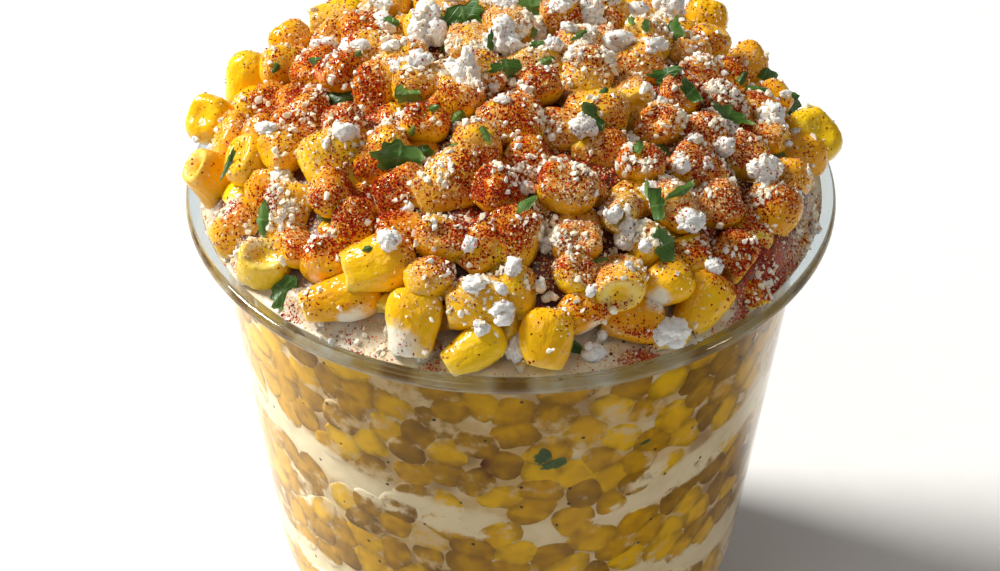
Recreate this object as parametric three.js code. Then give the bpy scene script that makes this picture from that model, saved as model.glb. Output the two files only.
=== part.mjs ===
// Esquites: sweet corn kernels in cream, layered in a clear tapered cup and heaped over its rim.
// Millimetres, +Z up. The origin is the middle of the cup's base, on the surface that it stands on.
import * as THREE from "three";

// Cup: thin clear plastic, a straight tapered wall that curves in to a small flat foot
const RIM_RADIUS = 47.5; // outside of the rolled rim
const CUP_HEIGHT = 84;
const BEAD_RADIUS = 1; // rolled edge of the rim
const WALL = 0.8;
const WALL_RADIUS_AT_RIM = 43.6; // outside of the straight wall, carried up to the rim's level
const TAPER = 0.11; // radius lost for each millimetre of depth
const BEND_DEPTH = 60.7; // depth below the rim where the wall starts to curve in
const BEND_RADIUS = 40; // outside radius of that curve, seen from the side
const FLARE_DEPTH = 4.2; // depth below the rim where the wall starts to flare out
const FOOT_OUTER_RADIUS = 25.8;
const FOOT_INNER_RADIUS = 22.5;
const RECESS_HEIGHT = 1.5; // the middle of the base is pushed up by this much

// Contents: layers of corn and cream, each wavy where it meets the next
const GAP = 0.3; // clearance between touching pieces
const BRIM_DROP = 1.7; // the uppermost cream stops this far below the rim
const LAYERS = [
  { name: "corn_layer_bottom", colour: 0xd9a51e, top: 25.5, wave: 2.4, turn: 0.6 },
  { name: "cream_layer_lower", colour: 0xe8e0cc, top: 32.5, wave: 2.2, turn: 2.1 },
  { name: "corn_layer_middle", colour: 0xd9a51e, top: 50.5, wave: 2.2, turn: 3.9 },
  { name: "cream_layer_upper", colour: 0xe8e0cc, top: 57.5, wave: 2.4, turn: 4.6 },
  { name: "corn_layer_upper", colour: 0xd9a51e, top: 78.8, wave: 0.9, turn: 1.3 },
  { name: "cream_layer_brim", colour: 0xf0e8d8, top: CUP_HEIGHT - BRIM_DROP, wave: 0, turn: 0 },
];

// Heap: corn kernels piled in a dome that leans out to the rim's edge
const HEAP_FOOT_RADIUS = 41; // where it sits on the cream, inside the rim
const HEAP_RADIUS = 45.2; // halfway up the outermost clumps
const HEAP_HEIGHT = 23.5; // the dome under its clumps, above the rim
const CLUMP_RADIUS = 7.5; // half the width of a clump of kernels on the dome
const CLUMP_RISE = 3; // how far a clump stands out of the dome
const CLUMP_COUNT = 84;
const CLUMP_SHIFT = 0.08; // how unevenly the clumps are spread, as a share of the dome's radius

const CUP_SEGMENTS = 52; // facets round the cup
const HEAP_SEGMENTS = 72;
const HEAP_RINGS = 20;

function material(color, roughness, opacity = 1) {
  return new THREE.MeshStandardMaterial({ color, roughness, opacity, transparent: opacity < 1 });
}

// The centre of the lower curve: the straight wall is its tangent.
const bendAngle = Math.atan(TAPER);
const bendTop = CUP_HEIGHT - BEND_DEPTH;
const bendCentre = {
  radius: WALL_RADIUS_AT_RIM - TAPER * BEND_DEPTH - BEND_RADIUS * Math.cos(bendAngle),
  height: bendTop + BEND_RADIUS * Math.sin(bendAngle),
};

// Radius of the wall at a height, where inset is how far inside the outer surface it lies.
function wallRadius(height, inset) {
  if (height >= bendTop) {
    return WALL_RADIUS_AT_RIM - TAPER * (CUP_HEIGHT - height) - inset / Math.cos(bendAngle);
  }
  const radius = BEND_RADIUS - inset;
  const drop = Math.min(bendCentre.height - height, radius);
  return bendCentre.radius + Math.sqrt(radius * radius - drop * drop);
}

// Points up the lower curve and the straight wall, to the start of the flare.
function wallPoints(fromHeight, inset, bendSteps) {
  const points = [];
  for (let i = 0; i < bendSteps; i++) {
    const height = fromHeight + ((bendTop - fromHeight) * i) / bendSteps;
    points.push(new THREE.Vector2(wallRadius(height, inset), height));
  }
  for (const height of [bendTop, CUP_HEIGHT - FLARE_DEPTH]) {
    points.push(new THREE.Vector2(wallRadius(height, inset), height));
  }
  return points;
}

// The flare from the straight wall out to the rolled rim, as a smooth curve.
function flarePoints(inset, endRadius, endHeight) {
  const start = new THREE.Vector2(wallRadius(CUP_HEIGHT - FLARE_DEPTH, inset), CUP_HEIGHT - FLARE_DEPTH);
  const corner = new THREE.Vector2(wallRadius(endHeight, inset), endHeight - BEAD_RADIUS / 4);
  const end = new THREE.Vector2(endRadius, endHeight);
  return new THREE.QuadraticBezierCurve(start, corner, end).getPoints(3).slice(1);
}

// A profile turned round the Z axis. It runs from the axis, up the outside, and back to the axis.
function turned(points, segments) {
  const geometry = new THREE.LatheGeometry(points, segments);
  return geometry.rotateX(Math.PI / 2);
}

function cup() {
  const floorHeight = RECESS_HEIGHT + WALL;
  const beadCentre = new THREE.Vector2(RIM_RADIUS - BEAD_RADIUS, CUP_HEIGHT - BEAD_RADIUS);
  const bead = [];
  for (let i = 0; i <= 6; i++) {
    const angle = -Math.PI / 2 + (Math.PI * i) / 6;
    const across = new THREE.Vector2(Math.cos(angle), Math.sin(angle)).multiplyScalar(BEAD_RADIUS);
    bead.push(across.add(beadCentre));
  }
  const outside = [
    new THREE.Vector2(0, RECESS_HEIGHT),
    new THREE.Vector2(FOOT_INNER_RADIUS - RECESS_HEIGHT, RECESS_HEIGHT),
    new THREE.Vector2(FOOT_INNER_RADIUS, 0),
    new THREE.Vector2(FOOT_OUTER_RADIUS, 0),
    ...wallPoints(RECESS_HEIGHT, 0, 5),
    ...flarePoints(0, beadCentre.x - BEAD_RADIUS / 2, CUP_HEIGHT - 2 * BEAD_RADIUS),
  ];
  const inside = [
    new THREE.Vector2(0, floorHeight),
    ...wallPoints(floorHeight, WALL, 5),
    ...flarePoints(WALL, beadCentre.x - BEAD_RADIUS, CUP_HEIGHT - BEAD_RADIUS / 4),
  ].reverse();
  const geometry = turned([...outside, ...bead, ...inside], CUP_SEGMENTS);
  const mesh = new THREE.Mesh(geometry, material(0xf4f6f6, 0.08, 0.25));
  mesh.name = "cup";
  return mesh;
}

// Height of a layer's upper boundary. It waves round the wall and is level on the axis.
function boundary(layer, angle, share) {
  const wave = Math.sin(2 * angle + layer.turn) + 0.5 * Math.sin(5 * angle + 2 * layer.turn);
  return layer.top + layer.wave * wave * share * share;
}

// One layer of the contents, from the boundary below it to its own, out to the cup's wall.
function contentsLayer(layer, below) {
  const floorHeight = RECESS_HEIGHT + WALL + GAP;
  const low = (angle, share) => (below ? boundary(below, angle, share) + GAP / 2 : floorHeight);
  const high = (angle, share) => boundary(layer, angle, share) - GAP / 2;
  const shares = [0, 0.6];
  const sideSteps = below ? 2 : 5;
  // In this profile x is the share of the way out to the wall, and y the share of the way up the side.
  const profile = shares.map((share) => new THREE.Vector2(share, 0));
  for (let i = 0; i <= sideSteps; i++) profile.push(new THREE.Vector2(1, i / sideSteps));
  profile.push(...shares.map((share) => new THREE.Vector2(share, 1)).reverse());
  const geometry = turned(profile, CUP_SEGMENTS);
  const place = geometry.getAttribute("position");
  for (let i = 0; i < place.count; i++) {
    const share = Math.hypot(place.getX(i), place.getY(i));
    const angle = Math.atan2(place.getY(i), place.getX(i));
    const height = THREE.MathUtils.lerp(low(angle, share), high(angle, share), place.getZ(i));
    const wallHeight = THREE.MathUtils.lerp(low(angle, 1), high(angle, 1), place.getZ(i));
    const radius = share * (wallRadius(wallHeight, WALL) - GAP);
    place.setXYZ(i, radius * Math.cos(angle), radius * Math.sin(angle), height);
  }
  const mesh = new THREE.Mesh(geometry, material(layer.colour, 0.45));
  mesh.name = layer.name;
  return mesh;
}

// Directions of the clumps on the heap: spread over the half sphere by the golden angle,
// then shifted unevenly.
function clumpDirections() {
  const goldenAngle = Math.PI * (3 - Math.sqrt(5));
  return Array.from({ length: CLUMP_COUNT }, (_, i) => {
    const height = 1 - (i + 0.5) / CLUMP_COUNT;
    const out = Math.sqrt(1 - height * height);
    const turn = i * goldenAngle;
    const direction = new THREE.Vector3(out * Math.cos(turn), out * Math.sin(turn), height);
    const shift = new THREE.Vector3(Math.sin(12.9 * i), Math.sin(78.2 * i + 1), Math.sin(37.7 * i + 2));
    return direction.addScaledVector(shift, CLUMP_SHIFT).normalize();
  });
}

// The heap: a dome with a rounded bump for each clump, cut in under the rim's level to sit on the cream.
function heap() {
  const footHeight = CUP_HEIGHT - BRIM_DROP + GAP / 2;
  const profile = [new THREE.Vector2(0, -1), new THREE.Vector2(1, -1)];
  for (let i = 0; i <= HEAP_RINGS; i++) {
    const angle = (Math.PI / 2) * (i / HEAP_RINGS);
    profile.push(new THREE.Vector2(i === HEAP_RINGS ? 0 : Math.cos(angle), Math.sin(angle)));
  }
  const geometry = turned(profile, HEAP_SEGMENTS);
  const place = geometry.getAttribute("position");
  const clumps = clumpDirections();
  const reach = CLUMP_RADIUS / HEAP_RADIUS;
  for (let i = 0; i < place.count; i++) {
    const direction = new THREE.Vector3().fromBufferAttribute(place, i);
    if (direction.z < 0) {
      place.setXYZ(i, direction.x * HEAP_FOOT_RADIUS, direction.y * HEAP_FOOT_RADIUS, footHeight);
      continue;
    }
    const nearest = Math.min(...clumps.map((clump) => clump.distanceTo(direction)));
    const bump = CLUMP_RISE * Math.max(0, 1 - (nearest / reach) ** 2);
    const radius = HEAP_RADIUS - CLUMP_RISE / 2 + bump;
    const height = CUP_HEIGHT + GAP + (HEAP_HEIGHT + bump) * direction.z;
    place.setXYZ(i, direction.x * radius, direction.y * radius, height);
  }
  const mesh = new THREE.Mesh(geometry, material(0xe0a024, 0.4));
  mesh.name = "corn_heap";
  return mesh;
}

const esquites = new THREE.Group();
esquites.add(cup());
LAYERS.forEach((layer, i) => esquites.add(contentsLayer(layer, LAYERS[i - 1])));
esquites.add(heap());

export default esquites;
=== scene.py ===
"""Esquites in a clear cup: sweet corn layered with cream behind the cup's wall and heaped over its rim,
under crumbled fresh cheese, chili powder and chopped coriander leaf."""
import math
from functools import lru_cache, partial

import bmesh
import bpy
import numpy as np
from bpy.props import FloatProperty, FloatVectorProperty, IntProperty, PointerProperty
from mathutils import Matrix, Vector
from mathutils.bvhtree import BVHTree


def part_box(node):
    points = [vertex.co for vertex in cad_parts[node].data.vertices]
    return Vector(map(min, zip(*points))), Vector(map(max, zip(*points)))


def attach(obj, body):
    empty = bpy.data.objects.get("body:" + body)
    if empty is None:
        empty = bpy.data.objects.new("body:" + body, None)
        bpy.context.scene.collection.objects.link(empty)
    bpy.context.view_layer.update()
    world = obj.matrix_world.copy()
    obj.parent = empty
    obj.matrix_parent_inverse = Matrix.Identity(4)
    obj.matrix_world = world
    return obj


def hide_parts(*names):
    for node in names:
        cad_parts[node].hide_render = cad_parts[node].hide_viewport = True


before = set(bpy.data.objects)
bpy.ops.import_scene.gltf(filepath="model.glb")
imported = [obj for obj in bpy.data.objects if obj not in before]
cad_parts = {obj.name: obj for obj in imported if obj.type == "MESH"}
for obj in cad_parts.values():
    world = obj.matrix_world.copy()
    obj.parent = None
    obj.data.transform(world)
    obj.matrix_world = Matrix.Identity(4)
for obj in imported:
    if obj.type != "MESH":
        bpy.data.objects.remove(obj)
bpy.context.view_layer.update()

bl_info = {
    "name": "Esquites cup",
    "version": (1, 0, 0),
    "blender": (4, 5, 0),
    "location": "3D View > Sidebar > Esquites",
    "description": "Builds a clear cup of layered and heaped sweet corn with cream, cheese, chili and herb",
    "category": "Object",
}

MM = 0.001
# Seeds of what is left to chance. The heap's is a setting.
PRESSED_SEED, CHEESE_SEED, LEAF_SEED = 33, 5, 17

# The cup, from the frame. Lengths below are in millimetres unless a comment says otherwise.
CUP_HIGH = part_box("cup")[1]
RIM_RADIUS = CUP_HIGH.x / MM
CUP_HEIGHT = CUP_HIGH.z / MM
BRIM_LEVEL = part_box("cream_layer_brim")[1].z / MM
TAPER = 0.11  # radius lost for each millimetre of depth
BEND_DEPTH = 60.7  # depth below the rim where the wall starts to curve in
FLARE_DEPTH = 4.2  # depth below the rim where the wall starts to flare out
RECESS_HEIGHT = 1.5  # the middle of the base is pushed up by this much
FOOT_OUTER_RADIUS = 25.8
FOOT_INNER_RADIUS = 22.5

# The photograph's camera: where it stands, how it is turned, and how many pixels it takes in.
PHOTO_WIDTH, PHOTO_HEIGHT = 1000, 571
CAMERA_PLACE = Vector((0, -309.27, 304.80))
CAMERA_PITCH = 37.92  # degrees below the horizontal
CAMERA_YAW = 0.278
CAMERA_ROLL = 0.27
CAMERA_LENS = 93.33  # on a sensor that is 36 mm wide
SENSOR_WIDTH = 36

# The heap's outline: an upper half of an ellipsoid that kernels, crumbs and leaves are laid on.
HEAP_BASE = CUP_HEIGHT - 1.5
OUTLINE_RADIUS = 47
OUTLINE_HEIGHT = 25

# Kernels of the heap that the photograph shows: pixel across and down, length and width in
# millimetres, the side that faces the camera, the turn of the kernel's long axis in the picture in
# degrees clockwise from upwards, and how deep the kernel lies under the outline in millimetres.
SHOWN_KERNELS = (
    (221, 184, 11.0, 9.0, "ring", -60, 3.6), (214, 122, 8.8, 7.6, "crown", -70, 3.6),
    (248, 80, 8.4, 7.6, "side", 20, 4.0), (264, 106, 8.0, 6.8, "side", 80, 4.6),
    (293, 43, 7.8, 6.8, "crown", -30, 4.0), (338, 20, 8.6, 7.2, "side", 80, 4.2),
    (372, 54, 8.0, 6.8, "crown", 0, 4.6), (305, 118, 8.6, 7.4, "side", 60, 5.0),
    (336, 165, 10.6, 9.8, "side", -20, 4.6), (404, 192, 8.4, 7.2, "side", 70, 5.4),
    (450, 185, 10.2, 9.0, "side", 65, 4.6), (424, 128, 8.0, 7.0, "crown", 10, 5.0),
    (512, 124, 9.6, 8.4, "side", 80, 4.6), (558, 132, 8.6, 7.2, "side", 95, 5.4),
    (588, 76, 9.2, 7.4, "side", 10, 4.0), (630, 98, 8.0, 6.6, "cut", 150, 5.0),
    (636, 66, 8.0, 7.0, "side", 80, 4.6), (566, 193, 9.0, 8.8, "crown", 20, 4.2),
    (522, 166, 8.6, 7.2, "side", 60, 5.2), (662, 128, 8.6, 7.4, "crown", -40, 5.0),
    (600, 152, 8.2, 6.8, "side", 85, 5.8), (516, 233, 8.8, 7.0, "side", 5, 4.2),
    (484, 246, 8.2, 6.8, "side", 40, 4.8), (575, 246, 7.8, 6.8, "crown", 0, 4.8),
    (574, 274, 6.8, 6.2, "crown", 60, 4.4), (617, 282, 9.0, 8.4, "cut", 170, 4.2),
    (634, 318, 8.4, 6.8, "side", 100, 4.8), (666, 284, 8.0, 6.6, "side", 60, 3.8),
    (702, 299, 8.6, 7.2, "side", 35, 3.8), (742, 300, 7.6, 6.2, "side", 70, 4.0),
    (770, 214, 9.4, 8.2, "side", 30, 4.0), (807, 147, 9.6, 9.2, "crown", 50, 4.4),
    (788, 252, 7.4, 6.0, "side", 20, 4.4), (704, 26, 8.6, 7.0, "side", 10, 4.2),
    (742, 66, 7.8, 6.4, "side", 60, 4.6), (712, 208, 8.6, 7.2, "side", 70, 5.2),
    (640, 168, 8.0, 7.0, "crown", 0, 5.0), (380, 264, 10.0, 8.4, "side", 75, 4.0),
    (263, 268, 8.8, 8.0, "cut", 10, 3.8), (240, 228, 8.4, 7.4, "side", 50, 4.2),
    (342, 298, 11.0, 7.2, "side", 75, 3.8), (414, 322, 9.4, 8.2, "side", 5, 3.6),
    (476, 349, 9.0, 6.0, "side", 55, 3.4), (546, 337, 8.4, 7.4, "side", 10, 3.4),
    (478, 302, 8.8, 7.2, "side", 80, 4.4), (516, 292, 7.4, 5.8, "side", 5, 5.4),
    (288, 212, 8.8, 7.2, "side", 10, 5.0), (352, 226, 8.4, 6.8, "side", 10, 5.2),
    (326, 264, 8.4, 7.2, "crown", 30, 4.8), (442, 244, 8.6, 7.6, "crown", 15, 4.8),
    (430, 284, 8.4, 7.4, "crown", -20, 4.6), (405, 66, 8.0, 7.0, "side", 70, 5.0),
    (376, 92, 8.8, 6.8, "side", 5, 4.8), (586, 308, 7.0, 5.8, "side", 60, 4.2),
    (540, 70, 8.6, 7.6, "side", 80, 5.4), (700, 82, 8.6, 7.6, "crown", 60, 4.8),
    (700, 140, 8.4, 7.4, "side", 60, 5.4), (742, 160, 8.6, 7.6, "crown", 30, 5.2),
    (480, 78, 8.4, 7.6, "crown", 30, 5.4),
)

# Where the heap leaves the cream bare: pixel across and down, and radius in millimetres.
BARE_CREAM = (
    (345, 338, 6.5), (300, 318, 6.0), (212, 250, 5.0), (225, 275, 4.0), (605, 352, 4.0), (700, 345, 3.5),
    (815, 225, 5.0), (770, 290, 4.0),
)

# Where cream stands higher inside the rim: pixel across and down, radius and height in millimetres.
CREAM_MOUNDS = (
    (822, 222, 7.5, 4.8), (802, 262, 7.5, 4.8), (772, 290, 6.5, 4.2), (735, 318, 5, 2.6),
    (345, 338, 7, 1.6), (300, 318, 7, 2.2), (214, 250, 6, 3.6), (234, 285, 6, 3.2),
)

# Where cream coats the kernels: pixel across and down, and radius in millimetres.
CREAM_COATS = (
    (400, 345, 4.5), (350, 330, 3.5), (208, 250, 3.5), (228, 205, 2.5), (818, 212, 5.5), (250, 245, 3.0),
    (660, 300, 2.0), (300, 290, 2.5), (600, 345, 3.5), (268, 200, 3.0),
)

# Lumps of cheese that the photograph shows: pixel across and down, width and height in millimetres.
SHOWN_CHEESE = (
    (466, 74, 5.8, 8.8), (427, 27, 6.4, 8.0), (506, 40, 6.4, 6.8), (388, 24, 5.0, 3.8),
    (393, 47, 2.8, 2.6), (328, 44, 4.6, 3.0), (360, 46, 3.4, 2.4), (396, 66, 2.0, 2.2),
    (588, 14, 5.8, 4.4), (541, 30, 5.2, 4.4), (553, 46, 2.8, 2.8), (614, 44, 7.0, 4.6),
    (668, 10, 4.8, 6.0), (655, 46, 4.0, 3.2), (345, 130, 4.2, 3.8), (286, 180, 4.4, 4.2),
    (388, 240, 3.8, 3.8), (582, 127, 4.8, 3.8), (630, 144, 3.2, 2.2), (525, 190, 2.8, 2.4),
    (631, 236, 4.0, 6.2), (648, 192, 3.6, 3.4), (611, 212, 2.6, 3.4), (690, 219, 4.6, 3.8),
    (680, 166, 3.0, 3.0), (707, 163, 1.8, 2.6), (694, 140, 2.6, 2.0), (726, 147, 3.8, 3.4),
    (760, 167, 5.6, 5.0), (771, 118, 4.8, 5.2), (709, 266, 3.6, 3.2), (796, 133, 2.4, 1.8),
    (787, 143, 1.8, 1.4), (671, 335, 6.2, 4.4), (500, 312, 4.8, 3.4), (481, 328, 2.6, 2.4),
    (514, 267, 2.6, 3.8), (477, 286, 4.0, 2.8), (500, 290, 2.2, 2.2), (537, 285, 2.4, 2.4),
    (550, 296, 2.6, 2.0), (519, 352, 4.0, 5.0), (594, 354, 3.8, 3.6), (600, 335, 2.0, 2.2),
    (470, 245, 2.4, 2.8), (547, 243, 2.6, 3.2), (196, 150, 1.8, 1.6), (268, 130, 3.8, 2.4),
    (409, 211, 2.0, 2.2), (503, 100, 2.4, 1.8), (494, 88, 2.0, 1.8), (512, 84, 1.8, 1.8),
    (592, 290, 2.2, 2.2), (630, 266, 1.8, 1.6), (645, 245, 2.2, 2.2), (419, 62, 4.4, 2.8),
    (636, 14, 4.6, 4.0), (560, 4, 4.6, 3.2), (505, 4, 4.4, 3.0), (455, -2, 4.4, 3.0), (384, 4, 4.0, 2.6),
    (612, -4, 5.0, 3.4), (728, 126, 3.0, 2.4), (812, 228, 2.6, 2.2), (570, 30, 2.8, 2.4),
    (785, 95, 2.2, 1.6),
)

# Pieces of leaf that the photograph shows: pixel across and down, length and width in millimetres,
# the turn of the long axis in the picture in degrees clockwise from upwards, and the shade of
# green from 0, dark, to 1, light.
SHOWN_LEAVES = (
    (466, 20, 6.6, 5.0, 70, 0.15), (530, 8, 7.0, 2.8, 80, 0.45), (446, 48, 2.8, 2.0, 10, 0.8),
    (490, 47, 5.2, 1.0, 5, 0.3), (506, 69, 5.4, 2.4, 80, 0.25), (533, 33, 1.6, 1.3, 30, 0.8),
    (538, 45, 2.2, 1.2, 80, 0.3), (392, 22, 2.8, 1.4, 100, 0.4), (545, 62, 3.4, 1.1, 60, 0.7),
    (579, 35, 3.2, 0.8, 60, 0.5), (345, 99, 6.6, 3.2, 70, 0.1), (409, 94, 3.8, 2.6, 85, 0.8),
    (434, 108, 1.6, 1.0, 60, 0.7), (458, 116, 3.2, 1.6, 40, 0.75), (486, 135, 2.6, 1.2, -25, 0.95),
    (398, 156, 6.0, 4.2, 100, 0.3), (424, 153, 2.6, 2.2, 70, 0.1), (316, 61, 2.2, 1.2, 90, 0.4),
    (358, 54, 1.2, 0.8, 40, 0.4), (276, 68, 1.6, 1.0, 30, 0.2), (228, 166, 4.2, 0.8, 20, 0.3),
    (264, 219, 5.6, 2.2, 0, 0.5), (285, 291, 5.6, 3.2, 35, 0.25), (368, 249, 1.6, 0.9, 80, 0.3),
    (594, 118, 4.4, 2.4, -30, 0.3), (525, 206, 3.4, 1.8, 50, 0.8), (600, 261, 2.0, 0.6, 85, 0.9),
    (639, 146, 2.0, 1.2, 10, 0.5), (656, 98, 1.6, 1.1, 80, 0.4), (661, 149, 3.4, 1.4, -30, 0.15),
    (674, 34, 5.6, 2.8, 10, 0.4), (668, 74, 4.6, 2.4, 80, 0.1), (690, 92, 4.4, 1.8, -40, 0.1),
    (727, 116, 5.8, 2.4, -70, 0.35), (764, 74, 4.6, 2.0, -60, 0.15), (757, 90, 4.0, 1.6, 80, 0.3),
    (806, 100, 5.0, 3.6, 60, 0.25), (682, 191, 4.6, 1.2, 60, 0.45), (658, 205, 5.4, 2.0, -10, 0.3),
    (664, 245, 4.8, 2.8, -25, 0.4), (646, 26, 1.8, 1.2, 0, 0.4), (632, 21, 1.2, 1.0, 0, 0.9),
    (412, 131, 1.6, 0.9, 20, 0.9), (455, 146, 1.4, 0.9, 60, 0.8), (604, 92, 1.4, 1.0, 30, 0.1),
    (648, 190, 2.6, 0.8, -10, 0.9), (742, 78, 2.4, 1.2, 30, 0.2),
)

# Where chili powder lies thickest: pixel across and down, radius in millimetres and strength.
CHILI_PATCHES = (
    (814, 266, 5, 0.5), (786, 306, 5, 0.6), (322, 214, 3, 1), (735, 330, 4, 0.8), (700, 108, 6, 0.7),
    (735, 172, 6, 0.7), (668, 148, 6, 0.5), (765, 212, 5, 0.7), (694, 252, 5, 0.6), (298, 84, 5.5, 1.5),
    (335, 98, 5, 1.4), (372, 112, 3.5, 0.62), (430, 106, 3.5, 0.87), (366, 186, 4, 1.7),
    (386, 202, 3, 0.93), (318, 228, 4, 1.5), (412, 240, 2.5, 0.74), (440, 266, 2.5, 0.62),
    (466, 260, 2, 0.74), (496, 186, 4, 1.8), (550, 165, 5, 0.81), (522, 96, 6, 0.62), (566, 22, 3, 0.87),
    (600, 60, 3.5, 0.56), (436, 26, 2, 1.4), (716, 92, 6.5, 1.4), (762, 92, 3, 0.56), (508, 230, 3, 0.74),
    (640, 342, 3, 0.68), (652, 356, 2.4, 1.6), (770, 272, 6.5, 1.5), (822, 250, 4, 1.6),
    (730, 268, 4, 0.81), (745, 242, 3, 1.6), (436, 364, 3.2, 1.6), (266, 194, 2.4, 0.81),
    (234, 212, 2, 0.81), (358, 304, 2.2, 0.87), (240, 290, 3.5, 0.31), (300, 330, 6, 0.28),
    (360, 350, 4, 0.31), (690, 104, 4, 0.74), (470, 225, 3, 0.68), (540, 78, 4, 0.56), (575, 255, 5, 0.5),
    (600, 325, 3, 0.62), (345, 55, 2, 0.81), (640, 130, 4, 0.62),
)

# Where fine cheese lies thickest, in the same way.
MEAL_PATCHES = (
    (820, 230, 5, 1.2), (800, 255, 4, 0.8), (640, 215, 6, 0.5), (700, 200, 6, 0.5), (815, 232, 6, 1.3),
    (798, 285, 6, 1.3), (520, 30, 10, 1), (600, 38, 9, 1), (440, 50, 7, 0.9), (762, 314, 5, 1.1),
    (700, 346, 5, 1), (640, 364, 5, 0.9), (570, 374, 4, 0.7), (450, 368, 5, 0.7), (385, 350, 5, 0.9),
    (300, 314, 5, 0.8), (240, 266, 5, 0.7), (212, 225, 4, 0.7), (690, 90, 7, 0.8), (745, 128, 6, 0.9),
    (322, 216, 3, 1.2), (660, 132, 6, 0.7), (720, 152, 6, 0.8), (752, 192, 6, 0.9), (690, 200, 6, 0.7),
    (640, 242, 5, 0.7), (560, 205, 5, 0.7), (440, 170, 5, 0.6), (290, 190, 5, 0.8), (250, 240, 4, 0.7),
    (430, 270, 5, 0.6), (350, 120, 5, 0.5), (600, 225, 5, 0.5), (480, 290, 4, 0.6), (575, 262, 5, 0.9),
    (280, 215, 4, 0.8), (760, 180, 5, 0.6), (400, 50, 6, 0.5),
)

# Kernels left clean of powder: pixel across and down, and radius in millimetres.
CLEAN_SPOTS = (
    (212, 126, 6), (215, 190, 6), (246, 80, 5), (345, 298, 6), (380, 270, 5), (265, 275, 5),
    (414, 330, 6), (474, 352, 5), (548, 342, 6), (666, 288, 4), (702, 302, 5), (812, 150, 6),
    (590, 85, 4), (700, 26, 5), (640, 100, 3), (340, 18, 5), (772, 220, 4), (305, 180, 3),
)

# Dark red pockets between the kernels at the wall: pixel across and down, and radius in millimetres.
WALL_STAINS = ((482, 462, 1.3), (488, 474, 0.8), (592, 397, 1.2))

# Pieces of leaf at the wall: pixel across and down, length and width in millimetres, turn in degrees
# clockwise from upwards, and shade.
WALL_LEAVES = ((543, 455, 3.4, 2.2, 20, 0.0), (553, 463, 4.0, 2.0, 70, 0.15), (645, 440, 2.2, 0.8, 80, 0.1))

# Depth of the two cream bands under the rim at azimuths from the front, in degrees to the right.
CREAM_BANDS = (
    ((-180, 28), (-120, 32), (-75, 25), (-45, 28), (-15, 32), (8, 35), (30, 31), (60, 26), (110, 31)),
    ((-180, 55), (-110, 51), (-60, 55), (-20, 54), (6, 55), (32, 49), (60, 52), (120, 57)),
)


def linear(hex_colour):
    """An sRGB hex colour as the linear values that shaders take, opaque."""
    channels = [int(hex_colour[i:i + 2], 16) / 255 for i in (1, 3, 5)]
    return [c / 12.92 if c <= 0.04045 else ((c + 0.055) / 1.055) ** 2.4 for c in channels] + [1.0]


def smoothstep(low, high, value):
    share = np.clip((np.asarray(value, float) - low) / (high - low), 0, 1)
    return share * share * (3 - 2 * share)


def unit(vectors):
    vectors = np.asarray(vectors, float)
    return vectors / np.maximum(np.linalg.norm(vectors, axis=-1, keepdims=True), 1e-9)


def round_angles(count):
    return np.arange(count) * 2 * np.pi / count


def upward(rng):
    """A direction by chance, from level to straight up."""
    direction = unit(rng.normal(size=3))
    direction[2] = abs(direction[2])
    return direction


WAVE_PEAK = 5.2  # about as high as the waves in the sum below get together


def wave(points, seed, size):
    """Smooth noise from -1 to 1 with features of a size in millimetres: a sum of slanted waves."""
    rng = np.random.default_rng(seed)
    total = np.zeros(len(points))
    for octave in range(3):
        for _ in range(5):
            direction = unit(rng.normal(size=3)) * 2 * np.pi * 2 ** octave / (2 * size)
            total += np.sin(points @ direction + rng.uniform(0, 2 * np.pi)) / 2 ** octave
    return total / WAVE_PEAK


# ---------------------------------------------------------------- properties


def length_setting(name, default, description):
    return FloatProperty(name=name, description=description, default=default * MM, unit="LENGTH")


def colour_setting(name, default, description):
    return FloatVectorProperty(name=name, description=description, default=linear(default),
                               subtype="COLOR", size=4, min=0, max=1)


class EsquitesCup(bpy.types.PropertyGroup):
    """Sizes and colour of the clear cup."""

    wall: length_setting("Wall", 0.8, "Thickness of the cup's wall")
    wall_radius: length_setting(
        "Wall radius", 43.6, "Outside radius of the straight wall, carried up to the rim's level")
    bend_radius: length_setting(
        "Bend radius", 40, "Radius of the curve at the wall's foot, seen from the side")
    bead_radius: length_setting("Bead radius", 1, "Radius of the rolled edge")
    colour: colour_setting("Plastic", "#FFF7E0", "Colour of the clear plastic")


class EsquitesContents(bpy.types.PropertyGroup):
    """The layers behind the cup's wall."""

    patch_width: length_setting("Kernel width", 8.6, "Width of a kernel where it is pressed to the wall")
    patch_height: length_setting("Kernel height", 5.8, "Height of a kernel where it is pressed to the wall")
    band_height: length_setting("Cream band", 6.5, "Height of a band of cream")
    cream: colour_setting("Cream", "#F3EAD6", "Colour of the cream")
    juice: colour_setting("Stained cream", "#D0AC60", "Colour of cream between kernels")


class EsquitesHeap(bpy.types.PropertyGroup):
    """The kernels heaped over the rim."""

    kernel_length: length_setting("Kernel length", 8.3, "Length of a kernel from its cut end to its crown")
    spacing: length_setting("Spacing", 6.3, "Distance between neighbouring kernels")
    seed: IntProperty(name="Seed", description="Sets where the unseen kernels lie", default=11)
    bright: colour_setting("Bright skin", "#FFD71C", "Colour of the palest kernels")
    deep: colour_setting("Deep skin", "#F2AC08", "Colour of the ripest kernels")


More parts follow.
